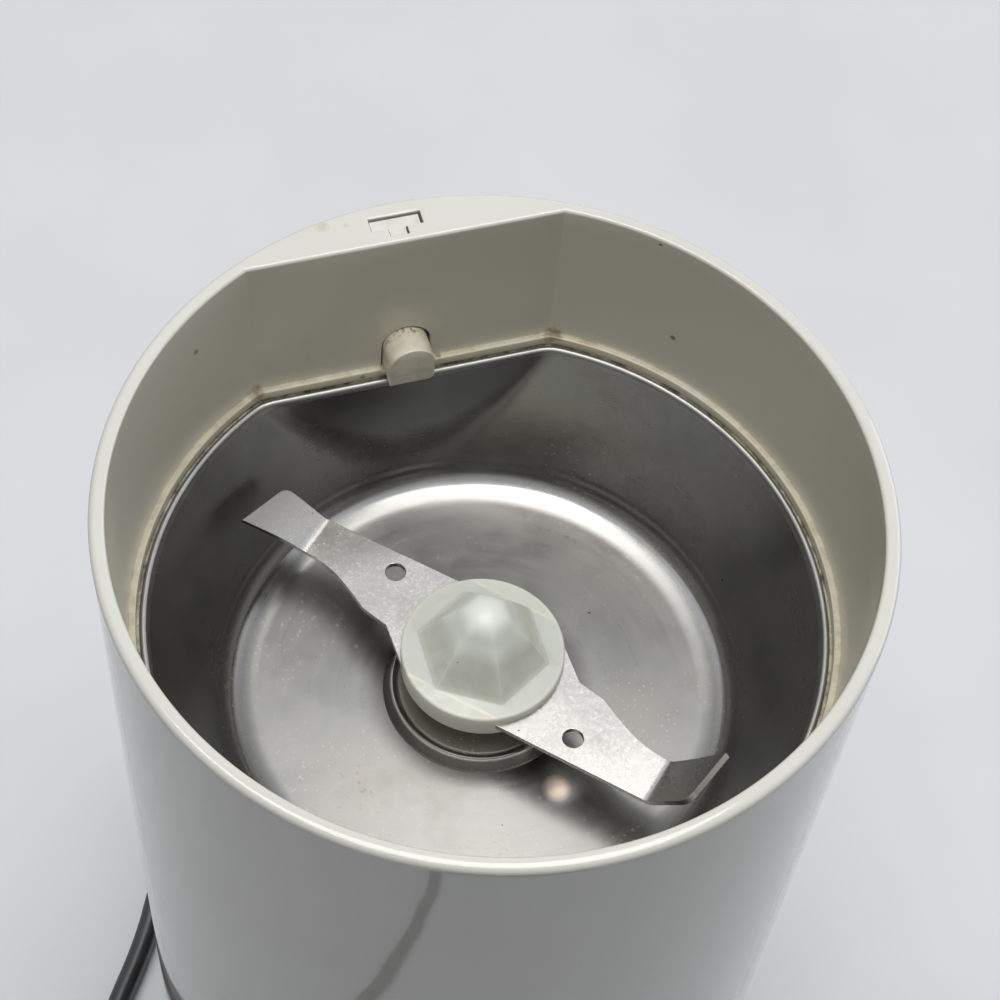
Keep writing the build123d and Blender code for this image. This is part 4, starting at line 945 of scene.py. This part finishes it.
def shellRings():
    h, foot = housing["height"], housing["footZ"]
    corner = housing["corner"]
    angles = [atan2(y, x) for x, y in dOutline(housing["mouthRadius"], housing["chordY"], corner)]
    rings = []

    def ringAt(radius, z):
        rings.append([(radius * cos(a), radius * sin(a), z) for a in angles])

    def flatted(radius, flatY, z):
        rings.append([(x, y, z) for x, y in dOutline(radius, flatY, corner)])

    def wallRadius(z):
        return housing["rimRadius"] - (housing["rimRadius"] - housing["footRadius"]) * (h - z) / (h - foot)

    ringAt(housing["inside"], foot)
    for inset, dz in ((0.5, 0.0), (0.15, 0.12), (0.0, 0.5)):
        ringAt(wallRadius(foot) - inset, foot + dz)
    low, high = 4.0, h - housing["outerRound"] - 0.3
    for k in range(31):
        z = low + (high - low) * k / 30
        ringAt(wallRadius(z), z)
    r = housing["outerRound"]
    for k in range(9):
        t = pi / 2 * k / 8
        ringAt(wallRadius(h) - r * (1 - cos(t)), h - r + r * sin(t))
    r = housing["innerRound"]
    for k in range(7):
        t = pi / 2 * k / 6
        out = r * (1 - sin(t))
        flatted(housing["mouthRadius"] + out, housing["chordY"] + out, h - r * (1 - cos(t)))
    drop = h - housing["ledgeZ"]
    for k in range(1, 13):
        share = (r + (drop - r - 0.25) * k / 12) / drop
        narrow = (housing["ledgeRadius"] - housing["mouthRadius"]) * share
        lean = (housing["chordLowY"] - housing["chordY"]) * share
        flatted(housing["mouthRadius"] + narrow, housing["chordY"] + lean, h - drop * share)
    # the ledge, with a small hollow in its corner and a rounded lip
    for inset, dz in (
        (0.03, 0.1), (0.12, 0.0), (0.6, 0.0), (0.72, -0.03), (0.82, -0.12), (0.85, -0.26), (0.85, -1.7)
    ):
        flatted(housing["ledgeRadius"] - inset, housing["chordLowY"] - inset, housing["ledgeZ"] + dz)
    lip = housing["ledgeRadius"] - housing["ledgeWidth"] - housing["shelfWidth"]
    lipY = housing["chordLowY"] - housing["ledgeWidth"] - housing["shelfWidth"]
    flatted(lip, lipY, housing["shelfZ"])
    flatted(lip, lipY, housing["shelfUnderZ"])
    ringAt(housing["inside"], housing["shelfUnderZ"])
    ringAt(housing["inside"], 60.0)
    return rings


def slotOutline(grow):
    # the T-shaped opening in the plate, seen from above, its inner corners rounded by 0.35
    given = housing["slot"]
    half, stem = given["width"] / 2 + grow, given["stemWidth"] / 2 + grow
    back, step = given["stepY"] + given["depth"] + grow, given["stepY"] - grow
    front = given["stepY"] - given["stemDepth"] - grow
    r = 0.35
    right = [(stem, front), (stem, step - r)]
    right += [(stem + r * (1 - cos(t)), step - r + r * sin(t)) for t in (0.4, 0.8, 1.2)]
    right += [(stem + r, step), (half, step), (half, back)]
    corners = right + [(-x, y) for x, y in right[::-1]]
    return [(given["x"] + x, y) for x, y in corners]


def archOutline(halves, side, grow=0.0, cornerCut=0.0, steps=24):
    # an arch standing on its own x axis; its right foot may be rounded
    left, right = halves[0] + grow, halves[1] + grow
    middle, half = (right - left) / 2, (right + left) / 2
    points = []
    for k in range(5):
        t = pi / 2 * k / 4
        points.append((right - cornerCut * (1 - sin(t)), -grow + cornerCut * (1 - cos(t))))
    for k in range(steps + 1):
        t = pi * k / steps
        points.append((middle + half * cos(t), side + half * sin(t)))
    points.append((-left, -grow))
    return points


button = {
    "lowZ": 132.5,
    "halves": (2.9, 2.9),
    "side": 3.4,
    "frontY": 34.01,
    "backY": 40.3,
    "cornerCut": 0.8,
    "windowHalves": (3.02, 3.24),
    "windowDrop": 0.3,
    # the front edge: how far behind the front, and how much narrower there
    "edge": ((0.2, 0.0), (0.12, 0.01), (0.05, 0.05), (0.0, 0.16)),
}
# the sketch axes of an upright outline to the frame: its x stays, its y points up, its height towards -Y
upright = Matrix(((1, 0, 0, 0), (0, 0, -1, 0), (0, 1, 0, 0), (0, 0, 0, 1)))


def makeHousing():
    material = shellPlastic()
    shell = put(
        "housing_shell",
        skin("housing_shell", shellRings(), closed=True),
        material,
        "stand",
        ["housing"],
    )
    h = housing["height"]
    flatY, roundRadius, foot = housing["channel"]
    half = acos(flatY / roundRadius)
    channel = []
    for k in range(49):
        t = pi / 2 - half + 2 * half * k / 48
        channel.append((roundRadius * cos(t), roundRadius * sin(t)))
    tools = [stacked("channel", [(foot, channel), (h - housing["plate"], channel)])]
    flare = (
        (h - housing["plate"] - 0.5, 0.0), (h - 0.16, 0.0), (h - 0.05, 0.04), (h, 0.16), (h + 0.5, 0.66)
    )
    tools.append(stacked("slot", [(z, slotOutline(grow)) for z, grow in flare]))
    place = Matrix.Translation((0, 0, (button["lowZ"] - button["windowDrop"]) * mm)) @ upright
    side = button["side"] + button["windowDrop"]
    flare = ((-39.8, 0.0), (-37.86, 0.0), (-37.7, 0.08), (-37.5, 0.25), (-36.0, 0.25))
    tools.append(
        stacked(
            "window", [(y, archOutline(button["windowHalves"], side, grow)) for y, grow in flare], place
        )
    )
    r, turn = housing["cordHole"], radians(boot["exitAngle"])
    hole = [(r * cos(t), r * sin(t)) for t in turnsRound(48)]
    outward = Vector((cos(turn), sin(turn), 0))
    facing = Matrix((Vector((-sin(turn), cos(turn), 0)), Vector((0, 0, 1)), outward)).transposed().to_4x4()
    place = Matrix.Translation((0, 0, boot["height"] * mm)) @ facing
    tools.append(stacked("cordHole", [(36, hole), (50, hole)], place))
    cut(shell, tools)
    finishMesh(shell.data, 32)
    shell.data.materials.clear()
    shell.data.materials.append(material)


def makeButton():
    steps = [(-button["backY"], 0.0)]
    steps += [(-button["frontY"] - inset, -narrow) for inset, narrow in button["edge"]]
    outlines = []
    for y, grow in steps:
        outlines.append((y, archOutline(button["halves"], button["side"], grow, button["cornerCut"])))
    place = Matrix.Translation((0, 0, button["lowZ"] * mm)) @ upright
    put(
        "interlock_cap",
        stacked("interlock_cap", outlines, place),
        buttonPlastic(),
        "button_body",
        ["interlock_button"],
    )


makeHousing()
makeButton()
print("housing and button made")

# bowl: deep drawn, with a rolled hem, a flat side under the chord and a raised middle
bowl = {
    "hemRadius": 41.0,
    "hemY": 36.4,
    "hem": 0.9,
    "hemLowZ": 130.9,
    "hemTopZ": 131.66,
    "sideTop": (40.1, 131.275),
    "knee": (32.5, 115.6),
    "bend": (114.9, 0.38, 1.2),  # height where the bottom bend starts, its foot's share of that, its width
    "floorRadius": 27.6,
    "floorZ": 112.4,
    "floorRise": 0.3,
    "bossFoot": 12.0,
    "bossTop": 11.3,
    "lipZ": 114.6,
    # the rolled edge round the bore: radius, and how far below the top of the lip
    "lip": ((11.25, 0.3), (11.1, 0.1), (10.9, 0.0), (10.65, 0.04), (10.4, 0.2), (10.3, 0.4)),
    # radius and height, from the bore outwards
    "underside": (
        (10.3, 114.0),
        (10.6, 113.8),
        (10.9, 113.2),
        (12.4, 112.3),
        (14.5, 111.8),
        (27.5, 111.8),
        (31.0, 112.9),
    ),
    "facetLean": 1.6,
    "facetDrop": 12.9,
    "sheet": 0.6,
    "steps": 720,
    # where liquid dried on the floor: x, y and radius
    "drifts": ((-18.7, -9.1, 9.0), (17.8, -8.0, 7.0), (-5.6, -24.5, 8.0)),
    "drop": (5.3, -15.9),
}


def arcTo(start, end, startAngle, steps):
    # points of an arc that leaves start at an angle and reaches end
    length = hypot(end[0] - start[0], end[1] - start[1])
    turn = atan2(end[1] - start[1], end[0] - start[0]) - startAngle
    turn = (turn + pi) % (2 * pi) - pi
    radius = length / (2 * sin(turn))
    middle = (start[0] - radius * sin(startAngle), start[1] + radius * cos(startAngle))
    points = []
    for k in range(1, steps + 1):
        a = startAngle + 2 * turn * k / steps
        points.append((middle[0] + radius * sin(a), middle[1] - radius * cos(a)))
    return points


def bowlRings():
    angles = turnsRound(bowl["steps"])
    rings = []

    def ring(radius, z, flatY=None, blend=0.7):
        points = []
        for a in angles:
            r = radius
            if flatY and sin(a) > 0.2:
                r = softMin(radius, flatY / sin(a), blend)
            points.append((r * cos(a), r * sin(a), z))
        rings.append(points)

    def facetY(z):
        return bowl["hemY"] - bowl["hem"] - bowl["facetLean"] * (bowl["hemLowZ"] - z) / bowl["facetDrop"]

    top, knee, t = bowl["sideTop"], bowl["knee"], bowl["sheet"]
    # underside, from the bore out and up
    for r, z in bowl["underside"]:
        ring(r, z)
    ring(knee[0] + 0.54, knee[1] - 0.26)
    for k in range(1, 16):
        share = 1 - k / 15
        z = min(top[1] + (knee[1] - top[1]) * share - 0.26, bowl["hemLowZ"])
        ring(top[0] + (knee[0] - top[0]) * share + 0.54, z, facetY(z) + t)
    # hem, rolled outwards
    ring(bowl["hemRadius"] - 0.12, bowl["hemLowZ"], bowl["hemY"] - 0.12)
    rise = bowl["hemTopZ"] - bowl["hemLowZ"] - 0.32
    for k in range(13):
        a = pi * k / 12
        inward = bowl["hem"] / 2 * (1 - cos(a))
        ring(bowl["hemRadius"] - inward, bowl["hemLowZ"] + 0.32 + rise * sin(a), bowl["hemY"] - inward)
    # wall, with a soft crease pressed in at the knee
    low = bowl["bend"][0]
    side = (top[0] - knee[0]) / (top[1] - knee[1])
    for k in range(1, 71):
        z = top[1] - 0.1 + (low - top[1] + 0.1) * k / 70
        nearKnee = (z - knee[1]) / 0.35
        r = knee[0] + (z - knee[1]) * side + 0.05 * nearKnee * exp(-nearKnee * nearKnee)
        ring(r, z, facetY(z), 1.1)
    # a tight bend, then a gentle one into the floor
    r, z = knee[0] + (low - knee[1]) * side, low
    sideAngle, share = pi + atan2(1, side), bowl["bend"][1]
    middle = (r - bowl["bend"][2], bowl["floorZ"] + (low - bowl["floorZ"]) * share)
    for r, z in arcTo((r, z), middle, sideAngle, 14):
        ring(r, z)
    for k in range(1, 9):
        t = k / 8
        ring(
            middle[0] + (bowl["floorRadius"] - middle[0]) * t,
            bowl["floorZ"] + (middle[1] - bowl["floorZ"]) * (1 - t) ** 2,
        )
    for k in range(1, 8):
        t = k / 7
        ring(
            bowl["floorRadius"] + (bowl["bossFoot"] + 0.05 - bowl["floorRadius"]) * t,
            bowl["floorZ"] + bowl["floorRise"] * t**1.6,
        )
    # raised middle: a short steep wall and a rolled edge round the bore
    bell, lipZ = [], bowl["lipZ"]
    foot = bowl["floorZ"] + bowl["floorRise"]
    for k in range(1, 9):
        t = k / 8
        bell.append(
            (bowl["bossFoot"] + (bowl["bossTop"] - bowl["bossFoot"]) * t, foot + (lipZ - 0.5 - foot) * t)
        )
    bell += [(r, lipZ - drop) for r, drop in bowl["lip"]]
    for r, z in bell:
        ring(r, z)
    return rings


bowlSteel = drawnSteel()
put(
    "bowl_sheet",
    skin("bowl_sheet", bowlRings(), closed=True, sharpAngle=28),
    bowlSteel,
    "stand",
    ["bowl"],
)
# the cup that holds the shaft's seal, pressed into the bore
dusty = drawnSteel("pressed stainless steel", dusty=True)
# its section, in radius and height
cup = {
    "section": (
        (10.28, 112.4),
        (10.28, 114.2),
        (10.1, 114.4),
        (9.8, 114.42),
        (9.4, 114.25),
        (8.6, 114.12),
        (5.3, 113.9),
        (5.3, 112.4),
    )
}
put(
    "seal_cup_pressing",
    turned("seal_cup_pressing", cup["section"]),
    dusty,
    "stand",
    ["seal_cup"],
)
print("bowl made")

# blade: one strip, two arms, each tip bent up along a slanting line
blade = {
    "topZ": 121.2,
    "thickness": 0.8,
    "direction": 132.7,
    "hole": (15.8, 117.4, 1.3),  # reach, angle, radius
    "bend": (26.8, 43.6),  # reach of the bend along the arm, angle of its line
    "bendHalf": 0.7,
    "lifts": (28.0, 45.0),
    # of each arm before it is bent: where it starts, its tip's back and front corners and the tip's root
    "arms": (
        ((9.9, 1.4), (-18.53, 28.5), (-25.23, 24.6), (-20.99, 22.23)),
        ((9.9, 1.4), (-18.0, 29.0), (-24.6, 25.2), (-20.7, 22.5)),
    ),
    "hollow": ((-17.3, 19.6), (-14.6, 15.7), (-12.5, 9.9)),
    "shoulder": (-10.4, 6.9),
    "tipRound": 1.4,
}


def curveThrough(points, steps):
    # a smooth line through the points
    full = [points[0], *points, points[-1]]
    made = []
    for a, b, c, d in zip(full, full[1:], full[2:], full[3:]):
        for k in range(steps):
            t = k / steps
            made.append(
                tuple(
                    b[j]
                    + t * (c[j] - a[j]) / 2
                    + t * t * (a[j] - 2.5 * b[j] + 2 * c[j] - d[j] / 2)
                    + t**3 * (1.5 * (b[j] - c[j]) + (d[j] - a[j]) / 2)
                    for j in (0, 1)
                )
            )
    return made + [tuple(points[-1])]


def armOutline(corners):
    start, back, front, root = (Vector(p) for p in corners)
    before = back - (back - start).normalized() * blade["tipRound"]
    after = back + (front - back).normalized() * blade["tipRound"]
    arm = [tuple(start)]
    for k in range(7):
        arm.append(tuple(before.lerp(back, k / 6).lerp(back.lerp(after, k / 6), k / 6)))
    return [*arm, tuple(front), *curveThrough((tuple(root), *blade["hollow"]), 8), blade["shoulder"]]


def bladeMesh():
    work = bmesh.new()
    edges = []

    def loop(points):
        verts = [work.verts.new((x * mm, y * mm, 0)) for x, y in points]
        for k, v in enumerate(verts):
            edges.append(work.edges.new((v, verts[(k + 1) % len(verts)])))

    first, second = (armOutline(corners) for corners in blade["arms"])
    loop(first + [(-x, -y) for x, y in second])
    reach, angle, radius = blade["hole"]
    for flip in (1, -1):
        cx, cy = flip * reach * cos(radians(angle)), flip * reach * sin(radians(angle))
        loop([(cx + radius * cos(t), cy + radius * sin(t)) for t in turnsRound(48)])
    bmesh.ops.triangle_fill(work, use_beauty=True, use_dissolve=False, edges=edges)
    reach, lineAngle = blade["bend"]
    line = Vector((cos(radians(lineAngle)), sin(radians(lineAngle)), 0))
    armWay = Vector((cos(radians(blade["direction"])), sin(radians(blade["direction"])), 0))
    zone = blade["bendHalf"]
    bends = []
    for flip, lift in zip((1, -1), blade["lifts"]):
        spot, outward = armWay * reach * flip, Vector((-line.y, line.x, 0)) * flip
        bends.append((spot, outward, radians(lift)))
        for k in range(-4, 5):
            geometry = work.verts[:] + work.edges[:] + work.faces[:]
            bmesh.ops.bisect_plane(
                work,
                geom=geometry,
                dist=1e-7,
                plane_co=(spot + outward * zone * k / 4) * mm,
                plane_no=outward,
            )
    for vert in work.verts:
        point = vert.co / mm
        for spot, outward, lift in bends:
            s = (point - spot).dot(outward)
            if s <= -zone:
                continue
            side = point - outward * s
            radius = 2 * zone / lift
            turnedBy = min(lift, lift * (s + zone) / (2 * zone))
            beyond = max(0.0, s - zone)
            reachNow = -zone + radius * sin(turnedBy) + beyond * cos(lift)
            rise = radius * (1 - cos(turnedBy)) + beyond * sin(lift)
            point = side + outward * reachNow + Vector((0, 0, rise))
            break
        vert.co = point * mm
        vert.co.z += (blade["topZ"] - blade["thickness"] / 2) * mm
    bmesh.ops.recalc_face_normals(work, faces=work.faces)
    mesh = bpy.data.meshes.new("blade_strip")
    work.to_mesh(mesh)
    work.free()
    return mesh


strip = put("blade_strip", bladeMesh(), groundSteel(), "spindle", ["blade"])
thicken = strip.modifiers.new("thickness", "SOLIDIFY")
thicken.thickness = blade["thickness"] * mm
thicken.offset = 0.0
soften = strip.modifiers.new("edges", "BEVEL")
soften.width = 0.07 * mm
soften.segments = 2
soften.limit_method = "ANGLE"
soften.angle_limit = radians(50)
strip.data.shade_flat()
print("blade made")

# hub: a disc moulded round the blade, with a six-sided nut shape that ends in a round crown
hub = {
    "radius": 10.05,
    "lowZ": 119.0,
    "topZ": 122.6,
    "edge": 0.3,
    "hexRadius": 8.1,
    "hexTop": 3.46,
    "hexRise": 7.6,
    "turn": 30.0,
    "crown": (4.3, 4.6),  # radius and height of the middle of the ball
    "flare": (0.6, 0.13),  # lean of the cone under the ball, and how fast it opens out
    "skirtRadius": 5.5,
    "skirtZ": 116.5,
    "steps": 240,
}


def hubRings():
    angles = turnsRound(hub["steps"])
    rings = []

    def ring(z, radiusAt):
        rings.append([(radiusAt(a) * cos(a), radiusAt(a) * sin(a), z) for a in angles])

    def hexagon(apothem, a):
        return apothem / cos((a - radians(hub["turn"])) % (pi / 3) - pi / 6)

    low, top, e = hub["lowZ"], hub["topZ"], hub["edge"]
    for r, z in (
        (3.0, hub["skirtZ"]),
        (hub["skirtRadius"] - 0.2, hub["skirtZ"]),
        (hub["skirtRadius"], hub["skirtZ"] + 0.2),
    ):
        ring(z, lambda a, r=r: r)
    ring(low, lambda a: hub["skirtRadius"])
    for k in range(6):
        t = pi / 2 * k / 5
        ring(low + e - e * cos(t), lambda a, t=t: hub["radius"] - e + e * sin(t))
    for k in range(6):
        t = pi / 2 * k / 5
        ring(top - e + e * sin(t), lambda a, t=t: hub["radius"] - e + e * cos(t))
    base, high = hub["hexRadius"] * cos(pi / 6), hub["hexTop"] * cos(pi / 6)
    ring(top, lambda a: hexagon(base + 0.3, a))
    ball, middle = hub["crown"]
    lean, opening = hub["flare"]
    meetRise = middle + ball * lean / hypot(1, lean)
    meetRadius = ball / hypot(1, lean)
    steps = 48
    for k in range(steps):
        rise = 0.04 + (ball + middle - 0.06) * (1 - (1 - k / (steps - 1)) ** 1.5)
        apothem = base + (high - base) * rise / hub["hexRise"] + 0.25 * max(0.0, 1 - rise / 0.5) ** 2
        below = meetRise - rise
        if below > 0:
            envelope = meetRadius + lean * below + opening * below * below
        else:
            envelope = sqrt(max(ball * ball - (rise - middle) ** 2, 0.0001))
        ring(
            top + rise,
            lambda a,
            apothem=apothem,
            envelope=envelope: softMin(hexagon(apothem, a), envelope, 0.7),
        )
    ring(top + ball + middle, lambda a: 0.0)
    ring(top + ball + middle, lambda a: 0.0)
    return rings


put(
    "hub_moulding",
    skin("hub_moulding", hubRings(), capped=True, sharpAngle=40),
    naturalNylon(),
    "spindle",
    ["hub"],
)
print("hub made")

# materials of the working parts inside, which keep the shapes of the model
def cloudy(name, first, second, size, roughness=0.5, grain=0.2, depth=0.05, **fixed):
    # an even material whose tone, gloss and surface wander over a size in mm
    made, tree, shader, point = newMaterial(name, **fixed)
    cloud = noise(tree, point, 1 / size, 5.0, 0.65)
    tone = shades(tree, cloud, (0.3, first), (0.7, second))
    wear = scaled(tree, cloud, start=roughness - 0.08, end=roughness + 0.12)
    fine = noise(tree, point, 4 / size, 4.0)
    feed(tree, shader, Base_Color=tone, Roughness=wear, Normal=relief(tree, fine, grain, depth))
    return made


def banded(name, first, second, spacing, bands="Z", roughness=0.45, depth=0.1, **fixed):
    # stacked or wound: bands at a spacing in mm along an axis
    made, tree, shader, point = newMaterial(name, **fixed)
    wave = addNode(
        tree,
        "TexWave",
        {"Vector": point, "Scale": pi / (10 * spacing), "Distortion": 0.25, "Detail": 2.0},
        bands_direction=bands,
    ).outputs[0]
    tone = shades(tree, wave, (0.15, first), (0.7, second))
    wear = scaled(tree, wave, start=roughness + 0.15, end=roughness)
    feed(tree, shader, Base_Color=tone, Roughness=wear, Normal=relief(tree, wave, 0.6, depth))
    return made


def commutatorBars():
    # hard-drawn copper bars with mica between them, skimmed on a lathe: 12 bars, dark where the brushes run
    made, tree, shader, point = newMaterial("turned copper and mica", Metallic=1.0)
    split = addNode(tree, "SeparateXYZ", {0: point}).outputs
    turn = calc(tree, "ARCTAN2", split[1], split[0])
    bars = calc(tree, "MULTIPLY", turn, 6.0)
    gap = calc(tree, "SINE", bars)
    gap = calc(tree, "ABSOLUTE", gap)
    copper = noise(tree, point, 1.2, 4.0)
    tone = shades(tree, copper, (0.3, "#B26B45"), (0.7, "#8A4E33"))
    mica = calc(tree, "LESS_THAN", gap, 0.12)
    tone = addNode(tree, "MixRGB", {"Fac": mica, "Color1": tone, "Color2": colour("#2A221C")}).outputs[0]
    feed(tree, shader, Base_Color=tone, Roughness=scaled(tree, copper, start=0.25, end=0.45))
    return made


def clothe(material, *nodes):
    for name in nodes:
        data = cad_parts[name].data
        data.materials.clear()
        data.materials.append(material)
        for face in data.polygons:
            face.material_index = 0


def clotheNodes():
    clothe(acetal(), "plunger")
    # round bar, centreless ground: bright, with faint rings 0.4 mm apart
    clothe(
        banded("ground shaft steel", "#A9A8A6", "#BDBCBA", 0.4, roughness=0.22, depth=0.01, Metallic=1.0),
        "shaft",
    )
    clothe(sealFelt(), "shaft_seal")
    # nitrile, moulded: dull black with a bloom
    clothe(cloudy("nitrile rubber", "#171717", "#212120", 3.0, 0.62, IOR=1.52), "motor_dampers", "feet")
    # nylon with glass fibre: near black, with a fibrous sheen 1 mm long
    clothe(cloudy("glass-filled nylon", "#1A1B1C", "#2C2D2E", 1.2, 0.48, 0.35, IOR=1.53), "motor_carrier")
    # ABS in the housing's cream, from a spark-eroded tool: satin
    clothe(
        cloudy("cream ABS, eroded grain", "#D2CEC0", "#DBD7CA", 0.9, 0.5, 0.4, 0.08, IOR=1.52), "base_plate"
    )
    # low carbon steel, zinc plated and passivated: a bluish grey spangle about 2 mm wide
    zinc = cloudy("zinc plated steel", "#A7AAAC", "#C3C5C4", 2.0, 0.36, 0.15, 0.02, Metallic=1.0)
    clothe(
        zinc,
        "carrier_screws",
        "upper_bracket",
        "motor_bolts",
        "switch_bracket",
        "bracket_screws",
        "switch_screws",
        "base_screws",
    )
    # bronze powder, sintered and oiled: brown with open pores of 0.3 mm
    clothe(
        cloudy("sintered bronze", "#7A5A38", "#9C7A4C", 0.6, 0.5, 0.5, 0.06, Metallic=1.0),
        "upper_bearing",
        "lower_bearing",
    )
    # electrical steel sheets 0.5 mm thick, stacked and varnished; 0.7 mm here so that they show
    clothe(
        banded(
            "stacked electrical steel", "#3A3B3E", "#6A6B6E", 0.7, roughness=0.4, depth=0.08, Metallic=1.0
        ),
        "stator_core",
        "armature_core",
    )
    # enamelled copper wire 0.45 mm thick, wound and baked: amber gloss
    clothe(
        banded("enamelled copper wire", "#5A2412", "#A6532A", 0.5, "DIAGONAL", 0.28, 0.2, Metallic=0.7),
        "field_coils",
        "armature_winding",
    )
    clothe(commutatorBars(), "commutator")
    # phenolic resin, moulded: brown black with flow clouds
    clothe(cloudy("moulded phenolic", "#221915", "#33261F", 2.5, 0.38, IOR=1.6), "end_shield")
    clothe(cloudy("white polyamide fan", "#C8C4B4", "#D6D3C6", 4.0, 0.42, IOR=1.53), "fan")
    # half-hard brass strip, folded: yellow with handling tarnish
    clothe(
        cloudy("folded brass strip", "#A98645", "#8C6C36", 3.0, 0.34, 0.15, 0.02, Metallic=1.0),
        "brush_holders",
    )
    # electrographite: soft, matt, with a silvery streak where it is cut
    clothe(cloudy("electrographite", "#232325", "#3B3B3E", 1.0, 0.6, 0.3, 0.04), "brushes")
    # patented spring wire, drawn: dark bright steel with die lines
    clothe(
        cloudy("drawn spring wire", "#7E7D7B", "#A3A2A0", 0.8, 0.3, 0.2, 0.02, Metallic=1.0),
        "brush_springs",
        "plunger_spring",
        "interlock_spring",
    )
    clothe(cloudy("black switch resin", "#1B1B1C", "#29292B", 1.5, 0.42, IOR=1.55), "microswitch")
    clothe(
        cloudy("rolled spring steel", "#8F8E8B", "#B0AFAC", 2.0, 0.32, 0.15, 0.02, Metallic=1.0),
        "switch_lever",
    )
    clothe(cloudy("red switch pin nylon", "#8E2A20", "#A83A2C", 0.8, 0.4, IOR=1.53), "switch_pin")
    # polypropylene case filled with resin: dull ochre
    clothe(cloudy("polypropylene case", "#B79A45", "#C8AC58", 5.0, 0.5, IOR=1.49), "capacitor")


clotheNodes()
print("inside parts given their materials")

# table and light
studio = {
    "table": ("#DADCE2", "#DFE1E6"),
    "reach": 3.0,
    "bounce": 0.3,  # the share of its brightness that the table throws back at the object
    "lamps": (
        {
            "name": "softbox",
            "spot": (-0.04, 0.06, 1.5),
            "size": (0.95, 0.95),
            "watts": 16.5,
            "tint": "#FFFDF9",
        },
        {"name": "ceiling", "spot": (0.0, 0.3, 2.1), "size": (5.0, 5.0), "watts": 17.0, "tint": "#FBFCFF"},
        {"name": "window", "spot": (1.6, 0.3, 0.6), "size": (1.2, 0.9), "watts": 8.0, "tint": "#F6FAFF"},
    ),
    "sky": "#E4E8EC",
    "dimSky": 0.1,
}


def seenDirectly(tree):
    # 1 for what the camera sees straight, mirrored or through glass, 0 for light that is only thrown around
    path = addNode(tree, "LightPath").outputs
    seen = calc(tree, "MAXIMUM", path["Is Camera Ray"], path["Is Glossy Ray"])
    return calc(tree, "MAXIMUM", seen, path["Is Transmission Ray"])


def paintedBoard():
    # a table painted with matt emulsion: faint roller clouds 40 mm wide
    made, tree, shader, point = newMaterial("matt emulsion", Roughness=0.7, IOR=1.45)
    cloud = noise(tree, point, 0.02, 3.0)
    low, high = studio["table"]
    tone = shades(tree, cloud, (0.3, low), (0.7, high))
    seen = scaled(tree, seenDirectly(tree), start=studio["bounce"])
    tone = addNode(tree, "VectorMath", {0: tone, "Scale": seen}, operation="SCALE").outputs[0]
    feed(tree, shader, Base_Color=tone)
    return made


def makeStudio():
    mesh = bpy.data.meshes.new("table")
    reach = studio["reach"]
    corners = [(-reach, -reach, 0), (reach, -reach, 0), (reach, reach, 0), (-reach, reach, 0)]
    mesh.from_pydata(corners, [], [(0, 1, 2, 3)])
    table = bpy.data.objects.new("table", mesh)
    bpy.context.scene.collection.objects.link(table)
    mesh.materials.append(paintedBoard())
    for given in studio["lamps"]:
        data = bpy.data.lights.new(given["name"], "AREA")
        data.shape = "RECTANGLE"
        data.size, data.size_y = given["size"]
        data.energy = given["watts"]
        data.color = colour(given["tint"])[:3]
        lamp = bpy.data.objects.new(given["name"], data)
        bpy.context.scene.collection.objects.link(lamp)
        spot = Vector(given["spot"])
        turn = (Vector((0, 0, 0.1)) - spot).to_track_quat("-Z", "Y") if spot.z < 1 else Quaternion()
        lamp.matrix_world = Matrix.Translation(spot) @ turn.to_matrix().to_4x4()
        lamp.visible_camera = False
    world = bpy.data.worlds.new("room")
    world.use_nodes = True
    tree = world.node_tree
    backdrop = tree.nodes["Background"]
    backdrop.inputs["Color"].default_value = colour(studio["sky"])
    seen = scaled(tree, seenDirectly(tree), start=studio["dimSky"])
    tree.links.new(seen, backdrop.inputs["Strength"])
    bpy.context.scene.world = world
    bpy.context.scene.view_settings.view_transform = "Standard"


makeStudio()
print("table and light placed")
